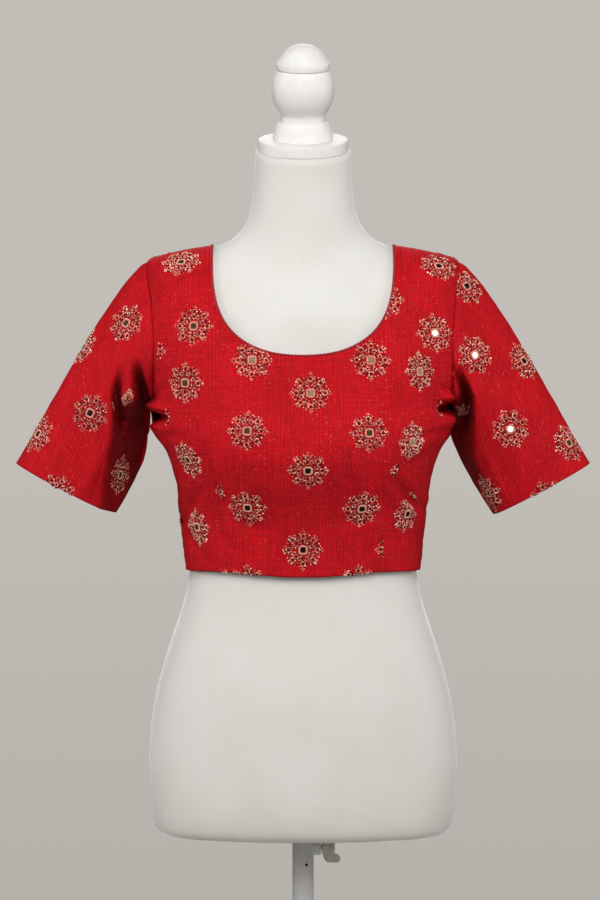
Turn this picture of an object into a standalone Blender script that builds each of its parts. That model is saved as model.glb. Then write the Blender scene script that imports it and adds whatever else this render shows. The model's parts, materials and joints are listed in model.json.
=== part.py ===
"""A short choli blouse worn by a limbless dress form on a telescopic stand.

The blouse is a wall of cloth cut as a front, two backs, a back placket, two set-in
sleeves and a corded neck edge. Body panels are grids on one family of horizontal
rings, trimmed at the side seams, armholes, shoulder seams and neckline. Each sleeve is
swept from its armhole seam to a slanting cuff. +Z is up, the front faces -Y and the
origin is on the floor under the pole. Tables are in millimetres above the form's base.
"""

import math
from typing import NamedTuple

import bmesh
import bpy
import numpy as np
from mathutils import Matrix, Vector

MM = 0.001

# Driving dimensions, in millimetres.
FORM_BASE_HEIGHT = 520.0
WALL = 1.5
SEAM_GAP = 0.3
TOUCH_GAP = 0.3

NECK_HALF_WIDTH = 98.0
NECK_TOP = 637.5
FRONT_NECK_DROP = 114.0
BACK_NECK_DROP = 76.0
NECK_SIDE_POWER = 2.3
NECK_DROP_POWER = 3.2
PIPING_RADIUS = 1.3
PIPING_LIFT = -0.1

FRONT_ARMHOLE_DEPTH = 66.0
BACK_ARMHOLE_DEPTH = 60.0
ARMHOLE_ROUNDNESS = 0.75

CUFF_OUTER = (310.0, 403.0)
CUFF_INNER = (204.0, 347.0)
CUFF_HALF_DEPTH = 39.0
SLEEVE_FORWARD = -3.0
SLEEVE_HEAD_RUN = Vector((96.0, 0.0, -11.0))
UNDERARM_RUN = Vector((-7.0, 0.0, -90.0))
SLEEVE_SPREAD = 14.0
CUFF_HEAD_RUN = 170.0
CUFF_RUN = 150.0
SLEEVE_FOLD_TURN = 138.0
SLEEVE_FOLD_WIDTH = 17.0
SLEEVE_FOLD_DEPTH = 7.0

PLACKET_WIDTH = 24.0
PLACKET_LIFT = 0.45

BUST_APEX = (75.0, 418.0)
BUST_SPREAD = (36.0, 42.0)
BUST_FULLNESS = 11.0

NECK_TILT = 10.0
PLATE_RADIUS = 48.5
PLATE_THICKNESS = 12.3
PLATE_EDGE_ROUND = 1.5

TUBE_RADIUS = 11.5
TUBE_WALL = 1.7
RISER_RADIUS = 9.5
RISER_WALL = 1.5
RISER_LENGTH = 400.0
BASE_RADIUS = 160.0
BASE_THICKNESS = 12.0
FERRULE_RADIUS = 21.0
FERRULE_HEIGHT = 30.0

SCREW_DROP = 15.5
BOSS_RADIUS = 8.5
BOSS_END = 19.4
SCREW_SHANK_RADIUS = 3.0
SCREW_BARREL = (20.2, 34.5)
SCREW_BARREL_RADIUS = 7.3
WING_END = 40.6
WING_REACH = 16.8
WING_THICKNESS = 5.0

# Mesh fineness.
TORSO_SIDES = 36
FRONT_HALF_COLUMNS = 11
BACK_COLUMNS = 9
SLEEVE_STATIONS = 15
ROUND_SIDES = 24


class Level(NamedTuple):
    """One ring, given by its side, front and back points, and how it runs between them."""

    side_z: float
    half_width: float
    front_z: float
    front_depth: float
    back_z: float
    back_depth: float
    squareness: float
    slope_power: float = 1.7


class Fold(NamedTuple):
    """A soft trough pressed into the front: its middle, size, lean from upright and depth."""

    x: float
    z: float
    half_length: float
    half_width: float
    lean: float
    depth: float


TORSO_LEVELS = [
    Level(0, 148, 0, 86, 0, 98, 2.3),
    Level(3, 156, 3, 94, 3, 106, 2.3),
    Level(11, 161, 11, 98.5, 11, 112, 2.3),
    Level(28, 164.5, 28, 102, 28, 115.5, 2.3),
    Level(56, 167.4, 56, 103, 56, 118, 2.3),
    Level(86, 167.4, 86, 102, 86, 118, 2.3),
    Level(116, 165, 116, 100.5, 116, 115, 2.3),
    Level(146, 161, 146, 98.5, 146, 108, 2.3),
    Level(176, 154, 176, 95.5, 176, 100, 2.3),
    Level(206, 144.5, 206, 91, 206, 91, 2.3),
    Level(236, 134, 236, 86.5, 236, 82.5, 2.3),
    Level(262, 126, 262, 83.5, 262, 77, 2.3),
    Level(286, 122, 286, 82, 286, 75.5, 2.3),
    Level(312, 121.5, 311, 83, 312, 77, 2.3),
    Level(340, 124.5, 338, 88, 340, 80.5, 2.3),
    Level(366, 130, 362, 97, 366, 85, 2.35),
    Level(392, 138, 384, 109, 392, 90, 2.4),
    Level(416, 144, 408, 117, 416, 93.5, 2.4),
    Level(440, 147.5, 432, 118, 440, 96.5, 2.4),
    Level(468, 149, 456, 113.5, 466, 98.5, 2.45),
    Level(498, 151, 478, 107, 492, 99.5, 2.5),
    Level(528, 155, 498, 102.5, 518, 98.5, 2.55),
    Level(558, 160, 516, 98, 543, 95.5, 2.55),
    Level(586, 163.5, 532, 94, 566, 92, 2.5),
    Level(604, 162, 544, 91, 580, 89, 2.45),
    Level(615, 157, 553, 88.5, 590, 86.5, 2.4),
    Level(623.5, 146, 562, 85.5, 598, 83.5, 2.3),
    Level(628.2, 134, 570, 82, 605, 80.5, 2.25),
    Level(631.2, 120, 578, 78, 612, 77, 2.2),
    Level(633.6, 106, 586, 73.5, 619, 73, 2.15),
    Level(636.3, 93, 594, 69, 626, 69, 2.1),
    Level(642, 79, 603, 63.5, 634, 64.5, 2.0, 1.6),
    Level(651, 68, 614, 58, 644, 60.5, 2.0, 1.4),
    Level(665, 59, 630, 53, 660, 56.5, 2.0, 1.2),
    Level(686, 54, 660, 49.5, 684, 53.5, 2.0, 1.1),
    Level(712, 52.2, 696, 47.8, 716, 51.5, 2.0, 1.0),
    Level(739.1, 51.5, 730.5, 48.8, 747.7, 48.8, 2.0, 1.0),
]

BLOUSE_LEVELS = [
    Level(286, 126.5, 286, 89, 286, 81, 2.3),
    Level(302, 128.6, 302, 90.5, 302, 82, 2.3),
    Level(320, 130.2, 320, 93, 320, 83.5, 2.3),
    Level(343, 134.3, 341, 98, 342, 86, 2.3),
    Level(369, 137.4, 364, 107.5, 368, 90, 2.35),
    Level(395, 143, 387, 121, 394, 94.5, 2.4),
    Level(419, 151.5, 410, 130.5, 419, 98.5, 2.4),
    Level(440, 156, 430, 131.5, 439, 101, 2.4),
    Level(458, 158.5, 446, 128, 458, 103, 2.4),
    Level(482, 165.5, 463, 121, 480, 104, 2.4),
    Level(511, 178, 481, 114.5, 504, 104, 2.35),
    Level(541, 188.5, 499, 109.5, 526, 102.5, 2.3),
    Level(570, 184, 517, 105, 547, 100, 2.3),
    Level(597, 172.5, 532, 100.5, 566, 96.5, 2.3),
    Level(620, 167, 546, 96, 583, 92.5, 2.3),
    Level(627, 152, 556, 92, 593, 89, 2.3),
    Level(630.7, 138, 565, 88.5, 601, 86, 2.25),
    Level(633.5, 124, 574, 84.5, 609, 82.5, 2.2),
    Level(635.8, 110, 582, 80, 616, 79, 2.2),
    Level(637.7, 97, 590, 75.5, 622, 75.5, 2.2),
]
HEM_ROW = 0
UNDERARM_ROW = 8
SHOULDER_TIP_ROW = 14

FRONT_FOLDS = [
    Fold(x=96, z=352, half_length=34, half_width=11, lean=-24, depth=2.2),
    Fold(x=118, z=402, half_length=30, half_width=9, lean=-38, depth=2.0),
    Fold(x=52, z=318, half_length=36, half_width=14, lean=-8, depth=1.4),
]

# Turned neck finial: radius and height above the plate.
FINIAL_PROFILE = [
    (32.0, 0.0), (32.2, 3.0), (31.5, 7.3), (29.9, 12.7), (27.6, 16.4), (24.7, 19.4),
    (24.1, 23.5), (24.2, 26.5), (25.9, 30.2), (28.9, 35.2), (31.4, 40.8), (33.1, 47.0),
    (33.8, 54.0), (33.3, 61.0), (31.5, 68.0), (28.3, 74.4), (27.6, 75.6), (28.7, 77.0),
    (29.0, 80.0), (28.7, 83.2), (26.8, 85.2), (24.8, 88.2), (22.6, 91.2), (18.4, 96.4),
    (13.0, 100.4), (6.6, 102.8), (0.0, 103.5),
]


def level_at(levels, index):
    """The ring at a fractional row of a table, on a smooth curve through its rows."""
    last = len(levels) - 1
    row = min(int(math.floor(index)), last - 1)
    t = index - row
    before, start, end, after = (
        np.array(levels[min(max(row + step, 0), last)]) for step in (-1, 0, 1, 2)
    )
    blended = (
        start
        + 0.5 * t * (end - before)
        + t * t * (before - 2.5 * start + 2 * end - 0.5 * after)
        + 0.5 * t**3 * (3 * (start - end) + after - before)
    )
    return Level(*blended)


def ring_point(level, angle):
    """A point of a ring, at an angle from the front middle towards +X."""
    across, along = math.sin(angle), math.cos(angle)
    power = level.squareness
    reach = (abs(across) ** power + abs(along) ** power) ** (-1 / power)
    middle_z, depth = (
        (level.front_z, level.front_depth) if along > 0 else (level.back_z, level.back_depth)
    )
    slope = (reach * abs(along)) ** level.slope_power
    return Vector((
        level.half_width * reach * across,
        -depth * reach * along,
        level.side_z + (middle_z - level.side_z) * slope,
    ))


def bust_fullness(point):
    """How far the form's front stands out beyond its ring, one mound on each side."""
    across = (abs(point.x) - BUST_APEX[0]) / BUST_SPREAD[0]
    up = (point.z - BUST_APEX[1]) / BUST_SPREAD[1]
    return BUST_FULLNESS * math.exp(-across * across - up * up)


def fold_depth(point):
    """How far the front's soft troughs press in at a point, alike on both sides."""
    total = 0.0
    for fold in FRONT_FOLDS:
        lean = math.radians(fold.lean)
        dx, dz = abs(point.x) - fold.x, point.z - fold.z
        along = (dx * math.sin(lean) + dz * math.cos(lean)) / fold.half_length
        across = (dx * math.cos(lean) - dz * math.sin(lean)) / fold.half_width
        total += fold.depth * math.exp(-along * along - across * across)
    return total


def torso_point(index, angle):
    """A point of the form's skin."""
    point = ring_point(level_at(TORSO_LEVELS, index), angle)
    if math.cos(angle) > 0:
        point.y -= bust_fullness(point) * math.cos(angle)
    return point


def blouse_point(index, angle):
    """A point of the blouse body's outer face."""
    point = ring_point(level_at(BLOUSE_LEVELS, index), angle)
    if math.cos(angle) > 0:
        point.y += fold_depth(point) * math.cos(angle)
    return point


def surface_normal(index, angle):
    """The blouse body's outward direction at a point."""
    step = 0.01
    along = blouse_point(index + step, angle) - blouse_point(index - step, angle)
    across = blouse_point(index, angle + step) - blouse_point(index, angle - step)
    return across.cross(along).normalized()


def bisect(function, low, high, steps=48):
    """Where a function that rises from below nought to above it crosses nought."""
    for _ in range(steps):
        middle = (low + high) / 2
        if function(middle) < 0:
            low = middle
        else:
            high = middle
    return (low + high) / 2


def neckline_half_width(z, drop, margin):
    """Half the neck opening's width at a height; a margin cuts the opening wider and lower."""
    fall = min(max((NECK_TOP - z) / (drop + margin), 0.0), 1.0)
    share = 1 - fall**NECK_DROP_POWER
    return (NECK_HALF_WIDTH + margin) * share ** (1 / NECK_SIDE_POWER)


def body_point(index, angle, is_front):
    """A point of the blouse body, by its angle from the front or back middle."""
    return blouse_point(index, angle if is_front else math.pi - angle)


def neck_angle(index, is_front, margin):
    """The angle at which a row starts: nought below the neckline, else on its edge."""
    drop = FRONT_NECK_DROP if is_front else BACK_NECK_DROP

    def beyond_edge(angle):
        point = body_point(index, angle, is_front)
        return point.x - neckline_half_width(point.z, drop, margin)

    if beyond_edge(0.0) >= 0 or index <= UNDERARM_ROW:
        return 0.0
    return bisect(beyond_edge, 0.0, math.pi / 2)


def armhole_depth(index, is_front):
    """How far in front of or behind the side a row ends; half a seam gap off the armhole."""
    share = (index - UNDERARM_ROW) / (SHOULDER_TIP_ROW - UNDERARM_ROW)
    if not 0 < share < 1:
        return SEAM_GAP / 2
    deepest = FRONT_ARMHOLE_DEPTH if is_front else BACK_ARMHOLE_DEPTH
    return max(deepest * math.sin(math.pi * share) ** ARMHOLE_ROUNDNESS, SEAM_GAP / 2)


def edge_angle(index, is_front):
    """The angle at which a row ends, on the side seam, armhole or shoulder seam."""
    level = level_at(BLOUSE_LEVELS, index)
    depth = level.front_depth if is_front else level.back_depth
    inset = (armhole_depth(index, is_front) / depth) ** level.squareness
    return math.atan(((1 - inset) / inset) ** (1 / level.squareness))


def row_where_middle_reaches(z, is_front):
    """The fractional row whose middle point lies at a height."""
    return bisect(
        lambda index: body_point(index, 0.0, is_front).z - z, UNDERARM_ROW, SHOULDER_TIP_ROW
    )


def neck_bottom(is_front):
    """The height of the panel's neck edge at its middle."""
    return NECK_TOP - (FRONT_NECK_DROP if is_front else BACK_NECK_DROP) - panel_margin()


def panel_margin():
    """How far the panels stop short of the piping's centre line."""
    return PIPING_RADIUS + SEAM_GAP


def eased(start, end, count, ease_in, ease_out):
    """Values from start up to but not including end, closer together at an eased end."""
    values = []
    for step in range(count):
        t = step / count
        if ease_in and ease_out:
            t = (1 - math.cos(math.pi * t)) / 2
        elif ease_in:
            t = 1 - math.cos(math.pi / 2 * t)
        elif ease_out:
            t = math.sin(math.pi / 2 * t)
        values.append(start + (end - start) * t)
    return values


def body_rows():
    """The rows that the front, the backs and the sleeves share, from hem to neck point."""
    front_neck = row_where_middle_reaches(neck_bottom(True), True)
    back_neck = row_where_middle_reaches(neck_bottom(False), False)
    neck_point = bisect(
        lambda index: NECK_HALF_WIDTH + panel_margin() - level_at(BLOUSE_LEVELS, index).half_width,
        SHOULDER_TIP_ROW,
        len(BLOUSE_LEVELS) - 1,
    )
    marks = sorted((front_neck, back_neck))
    return (
        eased(HEM_ROW, UNDERARM_ROW, 9, False, False)
        + eased(UNDERARM_ROW, marks[0], 8, True, False)
        + eased(marks[0], marks[1], 4, True, False)
        + eased(marks[1], SHOULDER_TIP_ROW, 5, True, True)
        + eased(SHOULDER_TIP_ROW, neck_point, 6, False, True)
        + [neck_point]
    )


def inner_point(index, angle, is_front):
    """The point of the wall's inner face behind a point of the blouse body."""
    turn = angle if is_front else math.pi - angle
    return blouse_point(index, turn) - surface_normal(index, turn) * WALL


def panel_grid(is_front, columns, first_inset=0.0):
    """Rows of the inner face over half the body, from its middle or neckline to its edge."""
    grid = []
    for index in body_rows():
        start = neck_angle(index, is_front, panel_margin())
        end = edge_angle(index, is_front)
        if start == 0.0 and first_inset:
            start = math.asin(first_inset / level_at(BLOUSE_LEVELS, index).half_width)
        start = min(start, end)
        grid.append([
            inner_point(index, start + (end - start) * step / columns, is_front)
            for step in range(columns + 1)
        ])
    return grid


def mirrored_grid(grid):
    """The same grid on the other side, wound so that its faces still point out."""
    return [[Vector((-p.x, p.y, p.z)) for p in reversed(row)] for row in grid]


def clear_scene():
    """Removes the objects that the file opened with."""
    for obj in list(bpy.data.objects):
        bpy.data.objects.remove(obj, do_unlink=True)


def make_collection(name):
    """A new collection in the scene."""
    collection = bpy.data.collections.new(name)
    bpy.context.scene.collection.children.link(collection)
    return collection


def make_material(name, color, roughness, metallic=0.0):
    """A Principled material."""
    material = bpy.data.materials.new(name)
    material.use_nodes = True
    shader = material.node_tree.nodes["Principled BSDF"]
    shader.inputs["Base Color"].default_value = (*color, 1.0)
    shader.inputs["Roughness"].default_value = roughness
    shader.inputs["Metallic"].default_value = metallic
    return material


class Workshop:
    """Puts finished meshes into the model's collection, each on the right parent."""

    def __init__(self):
        self.parts = make_collection("choli_blouse_on_dress_form")
        self.cutters = make_collection("cutters")
        self.cloth = make_material("red_cloth", (0.52, 0.012, 0.018), 0.7)
        self.trim = make_material("neck_cord", (0.30, 0.02, 0.03), 0.6)
        self.jersey = make_material("white_jersey", (0.78, 0.76, 0.73), 0.85)
        self.paint = make_material("white_paint", (0.82, 0.81, 0.78), 0.35)
        self.steel = make_material("grey_steel", (0.35, 0.34, 0.33), 0.4, 1.0)
        self.screw_metal = make_material("screw_metal", (0.28, 0.27, 0.25), 0.45, 1.0)

    def pivot(self, name, location, parent=None):
        """An empty on a joint's axis, in millimetres above the floor."""
        empty = bpy.data.objects.new(name, None)
        self.parts.objects.link(empty)
        empty.parent = parent
        empty.location = Vector(location) * MM
        return empty

    def add(self, name, mesh, material, parent=None, tool=False):
        """An object of a mesh; a tool is a cutter that isn't part of the model."""
        obj = bpy.data.objects.new(name, mesh)
        (self.cutters if tool else self.parts).objects.link(obj)
        obj.parent = parent
        if material:
            mesh.materials.append(material)
        if tool:
            obj.hide_render = True
            obj.display_type = "WIRE"
        else:
            mesh.shade_smooth()
            mesh.set_sharp_from_angle(angle=math.radians(40))
        return obj


def surface_mesh(name, rows, closed=False, caps=False):
    """A mesh over rows of points; closed joins each row's ends, and caps close the ends."""
    mesh = bpy.data.meshes.new(name)
    shape = bmesh.new()
    verts = [[shape.verts.new(point * MM) for point in row] for row in rows]
    width = len(rows[0])
    for lower, upper in zip(verts, verts[1:]):
        for step in range(width if closed else width - 1):
            after = (step + 1) % width
            shape.faces.new((lower[step], lower[after], upper[after], upper[step]))
    if caps:
        shape.faces.new(list(reversed(verts[0])))
        shape.faces.new(verts[-1])
    bmesh.ops.remove_doubles(shape, verts=shape.verts, dist=0.01 * MM)
    shape.to_mesh(mesh)
    shape.free()
    return mesh


def turned(name, profile):
    """A Screw modifier's profile, run down its outer side, as a mesh of edges."""
    mesh = bpy.data.meshes.new(name)
    points = [(radius * MM, 0, z * MM) for radius, z in profile]
    mesh.from_pydata(points, [(i, i + 1) for i in range(len(points) - 1)], [])
    return mesh


def add_screw(obj, sides=ROUND_SIDES):
    """Turns a profile once round its own Z axis."""
    screw = obj.modifiers.new("turn", "SCREW")
    screw.steps = screw.render_steps = sides
    screw.use_merge_vertices = True
    screw.merge_threshold = 0.00001
    return obj


def add_wall(obj, outward=False, thickness=WALL):
    """Gives an open cloth surface its thickness, inward from its outer face by default."""
    wall = obj.modifiers.new("wall", "SOLIDIFY")
    wall.thickness = thickness * MM
    wall.offset = 1.0 if outward else -1.0
    return obj


def rounded_disc(radius, thickness, edge, bottom=0.0):
    """The profile of a disc with a round top edge, from its top middle down."""
    arc = [
        (radius - edge + edge * math.sin(turn), bottom + thickness - edge + edge * math.cos(turn))
        for turn in (math.pi / 2 * step / 4 for step in range(5))
    ]
    return [(0.0, bottom + thickness), *arc, (radius, bottom), (0.0, bottom)]


def pipe_profile(outer, inner, bottom, top):
    """The closed profile of a plain tube."""
    return [(outer, top), (outer, bottom), (inner, bottom), (inner, top), (outer, top)]


def cylinder_mesh(name, radius, start, end, axis, sides=ROUND_SIDES):
    """A closed cylinder along the X or Z axis, between two places on it."""
    mesh = bpy.data.meshes.new(name)
    shape = bmesh.new()
    bmesh.ops.create_cone(
        shape, cap_ends=True, segments=sides, radius1=radius * MM, radius2=radius * MM,
        depth=(end - start) * MM,
    )
    turn = Matrix.Rotation(math.pi / 2, 4, "Y") if axis == "X" else Matrix.Identity(4)
    middle = (start + end) / 2 * MM
    shift = Vector((middle, 0, 0)) if axis == "X" else Vector((0, 0, middle))
    bmesh.ops.transform(shape, matrix=Matrix.Translation(shift) @ turn, verts=shape.verts)
    shape.to_mesh(mesh)
    shape.free()
    return mesh


def combine(obj, tool, operation):
    """Cuts or joins another object with a Boolean modifier."""
    boolean = obj.modifiers.new(operation.lower(), "BOOLEAN")
    boolean.operation = operation
    boolean.object = tool
    boolean.solver = "EXACT"


def build_torso(shop, parent):
    """The form's body, from its rounded base to its slanting neck top."""
    rows = [
        [torso_point(index, math.tau * step / TORSO_SIDES) for step in range(TORSO_SIDES)]
        for index in range(len(TORSO_LEVELS))
    ]
    mesh = surface_mesh("form_torso", rows, closed=True, caps=True)
    return shop.add("form_torso", mesh, shop.jersey, parent)


def build_neck_cap(shop, parent):
    """The painted plate and finial, square to the neck's slanting top."""
    neck = TORSO_LEVELS[-1]
    tilted = shop.pivot("neck_tilt", (0, (neck.back_depth - neck.front_depth) / 2, neck.side_z), parent)
    tilted.rotation_euler.x = math.radians(NECK_TILT)
    plate = shop.add(
        "neck_plate",
        turned("neck_plate", rounded_disc(PLATE_RADIUS, PLATE_THICKNESS, PLATE_EDGE_ROUND, TOUCH_GAP)),
        shop.paint,
        tilted,
    )
    foot = PLATE_THICKNESS + 2 * TOUCH_GAP
    profile = [(radius, foot + z) for radius, z in reversed(FINIAL_PROFILE)]
    finial = shop.add("neck_finial", turned("neck_finial", [*profile, (0.0, foot)]), shop.paint, tilted)
    return [add_screw(plate, 32), add_screw(finial)]


def build_front(shop, parent):
    """The one-piece front: half a grid, mirrored, then given its wall."""
    mesh = surface_mesh("blouse_front", panel_grid(True, FRONT_HALF_COLUMNS))
    front = shop.add("blouse_front", mesh, shop.cloth, parent)
    mirror = front.modifiers.new("other_half", "MIRROR")
    mirror.use_clip = True
    mirror.merge_threshold = 0.00001
    return add_wall(front, outward=True)


def build_backs(shop, parent):
    """Two back panels, parted by a seam gap at the centre back."""
    right = mirrored_grid(panel_grid(False, BACK_COLUMNS, SEAM_GAP / 2))
    left = panel_grid(False, BACK_COLUMNS, SEAM_GAP / 2)
    panels = []
    for name, grid in (("blouse_back_left", left), ("blouse_back_right", right)):
        mesh = surface_mesh(name, [list(reversed(row)) for row in grid])
        panels.append(add_wall(shop.add(name, mesh, shop.cloth, parent), outward=True))
    return panels


def build_placket(shop, parent):
    """The closing band, lying on both backs from the neck edge to the hem."""
    top = row_where_middle_reaches(neck_bottom(False), False)
    rows = []
    for step in range(19):
        index = top * step / 18
        half_turn = math.asin(PLACKET_WIDTH / 2 / level_at(BLOUSE_LEVELS, index).half_width)
        row = []
        for part in range(-2, 3):
            angle = math.pi + half_turn * part / 2
            row.append(blouse_point(index, angle) + surface_normal(index, angle) * PLACKET_LIFT)
        rows.append(row)
    placket = shop.add("back_placket", surface_mesh("back_placket", rows), shop.cloth, parent)
    return add_wall(placket, outward=True, thickness=1.2)


def neckline_points(is_front):
    """The piping's centre line on one side: the panel's own edge, moved out past its gap."""
    edge, outward = [], []
    for index in body_rows():
        angle = neck_angle(index, is_front, panel_margin())
        if angle == 0.0 and body_point(index, 0.0, is_front).z < neck_bottom(is_front) - 0.01:
            continue
        turn = min(angle, edge_angle(index, is_front))
        turn = turn if is_front else math.pi - turn
        edge.append(blouse_point(index, turn))
        outward.append(surface_normal(index, turn))
    points = []
    for i, (point, normal) in enumerate(zip(edge, outward)):
        run = edge[min(i + 1, len(edge) - 1)] - edge[max(i - 1, 0)]
        if i == 0:
            run = Vector((1, 0, 0))
        if i == len(edge) - 1:
            run = Vector((0, 1 if is_front else -1, 0))
        away = normal.cross(run).normalized() * (1 if is_front else -1)
        points.append(point + away * panel_margin() + normal * PIPING_LIFT)
    return points


def build_piping(shop, parent):
    """The neck cord, a tube that is open at the centre back under the placket."""
    front, back = neckline_points(True), neckline_points(False)
    half = front + list(reversed(back))[1:]
    route = [Vector((-p.x, p.y, p.z)) for p in reversed(half)] + half[1:]
    route = [p for p in route if p.y < 0 or abs(p.x) > SEAM_GAP]
    curve = bpy.data.curves.new("neck_piping", "CURVE")
    curve.dimensions = "3D"
    spline = curve.splines.new("POLY")
    spline.points.add(len(route) - 1)
    for spot, point in zip(spline.points, route):
        spot.co = (*(point * MM), 1.0)
    curve.bevel_depth = PIPING_RADIUS * MM
    curve.bevel_resolution = 1
    curve.use_fill_caps = True
    curve.materials.append(shop.trim)
    piping = bpy.data.objects.new("neck_piping", curve)
    shop.parts.objects.link(piping)
    piping.parent = parent
    return piping


def armhole_loop():
    """The armhole seam on +X, from the shoulder tip down the front and up the back."""
    rows = [r for r in body_rows() if UNDERARM_ROW < r < SHOULDER_TIP_ROW]
    tip = body_point(SHOULDER_TIP_ROW, math.pi / 2, True)
    underarm = body_point(UNDERARM_ROW, math.pi / 2, True)
    front = [body_point(r, edge_angle(r, True), True) for r in reversed(rows)]
    back = [body_point(r, edge_angle(r, False), False) for r in rows]
    return [tip, *front, underarm, *back]


def loop_turns(loop):
    """How far round the armhole each point is, from the tip, with the underarm at half a turn."""
    half = len(loop) // 2
    lengths = [(loop[(i + 1) % len(loop)] - loop[i]).length for i in range(len(loop))]
    front, back = sum(lengths[:half]), sum(lengths[half:])
    turns, run = [], 0.0
    for i, length in enumerate(lengths):
        turns.append(math.pi * run / front if i < half else math.pi * (1 + (run - front) / back))
        run += length
    return turns


def sleeve_point(start, turn, t):
    """A point of the sleeve on +X: t runs from nought at the armhole to one at the cuff."""
    outer, inner = Vector((CUFF_OUTER[0], 0, CUFF_OUTER[1])), Vector((CUFF_INNER[0], 0, CUFF_INNER[1]))
    middle, reach = (outer + inner) / 2, (outer - inner) / 2
    cuff = middle + reach * math.cos(turn)
    cuff.y = SLEEVE_FORWARD - CUFF_HALF_DEPTH * math.sin(turn)
    top_share = (1 + math.cos(turn)) / 2
    leaving = SLEEVE_HEAD_RUN * top_share + UNDERARM_RUN * (1 - top_share)
    leaving = leaving - Vector((0, SLEEVE_SPREAD * math.sin(turn), 0))
    axis = Vector((reach.z, 0, -reach.x)).normalized()
    arriving = axis * (CUFF_RUN * (1 - top_share) + CUFF_HEAD_RUN * top_share)
    return (
        start * (2 * t**3 - 3 * t**2 + 1)
        + leaving * (t**3 - 2 * t**2 + t)
        + cuff * (3 * t**2 - 2 * t**3)
        + arriving * (t**3 - t**2)
    )


def sleeve_fold(turn, t):
    """How far the sleeve's trough, low on its front, presses in."""
    across = (math.degrees(turn) - SLEEVE_FOLD_TURN) / SLEEVE_FOLD_WIDTH
    along = math.sin(math.pi * min(t / 0.8, 1.0)) if t < 0.4 else 1.0 - 0.62 * (t - 0.4)
    return SLEEVE_FOLD_DEPTH * along * math.exp(-across * across)


def sleeve_rings():
    """The rings of the sleeve on +X, from just clear of the armhole seam to the cuff."""
    loop = armhole_loop()
    turns = loop_turns(loop)
    clear = Vector((SEAM_GAP + 0.1, 0, 0))
    rings = []
    for station in range(SLEEVE_STATIONS + 1):
        t = (station / SLEEVE_STATIONS) ** 1.15
        ring = [sleeve_point(p + clear, turn, t) for p, turn in zip(loop, turns)]
        middle = sum(ring, Vector()) / len(ring)
        rings.append([
            p + (middle - p).normalized() * sleeve_fold(turn, t) for p, turn in zip(ring, turns)
        ])
    return rings


def build_sleeves(shop, parent):
    """Both sleeves, each one tube of cloth, open at the armhole and the cuff."""
    left = [list(reversed(ring)) for ring in sleeve_rings()]
    right = mirrored_grid(left)
    sleeves = []
    for name, rings in (("sleeve_left", left), ("sleeve_right", right)):
        mesh = surface_mesh(name, [list(reversed(ring)) for ring in rings], closed=True)
        sleeves.append(add_wall(shop.add(name, mesh, shop.cloth, parent)))
    return sleeves


def build_stand(shop):
    """The foot, its ferrule and the outer tube with the clamp's boss."""
    profile = rounded_disc(BASE_RADIUS, BASE_THICKNESS, 4.0)
    disc = shop.add("base_disc", turned("base_disc", profile), shop.paint)
    add_screw(disc, 48)
    low = BASE_THICKNESS + TOUCH_GAP
    bore = TUBE_RADIUS + TOUCH_GAP
    collar = [
        (bore + 2.0, low + FERRULE_HEIGHT), (bore + 3.5, low + FERRULE_HEIGHT - 2),
        (bore + 4.5, low + 10), (FERRULE_RADIUS - 1.5, low + 5), (FERRULE_RADIUS, low + 3),
        (FERRULE_RADIUS, low), (bore, low), (bore, low + FERRULE_HEIGHT),
        (bore + 2.0, low + FERRULE_HEIGHT),
    ]
    add_screw(shop.add("base_ferrule", turned("base_ferrule", collar), shop.steel))
    tube = pipe_profile(
        TUBE_RADIUS, TUBE_RADIUS - TUBE_WALL, low, FORM_BASE_HEIGHT - 2 * TOUCH_GAP
    )
    add_screw(shop.add("stand_tube", turned("stand_tube", tube), shop.steel))
    build_boss(shop)


def build_boss(shop):
    """The threaded boss on the tube, saddled to it and drilled for the screw."""
    axis_height = FORM_BASE_HEIGHT - SCREW_DROP
    boss = shop.add("clamp_boss", cylinder_mesh("clamp_boss", BOSS_RADIUS, 6.0, BOSS_END, "X"), shop.steel)
    boss.location.z = axis_height * MM
    saddle = shop.add(
        "boss_saddle_cutter",
        cylinder_mesh("boss_saddle_cutter", TUBE_RADIUS + TOUCH_GAP, -30.0, 30.0, "Z"),
        None,
        tool=True,
    )
    saddle.location.z = axis_height * MM
    drill = shop.add(
        "boss_drill",
        cylinder_mesh("boss_drill", SCREW_SHANK_RADIUS + TOUCH_GAP, -1.0, BOSS_END + 5, "X"),
        None,
        tool=True,
    )
    drill.location.z = axis_height * MM
    combine(boss, saddle, "DIFFERENCE")
    combine(boss, drill, "DIFFERENCE")


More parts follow.
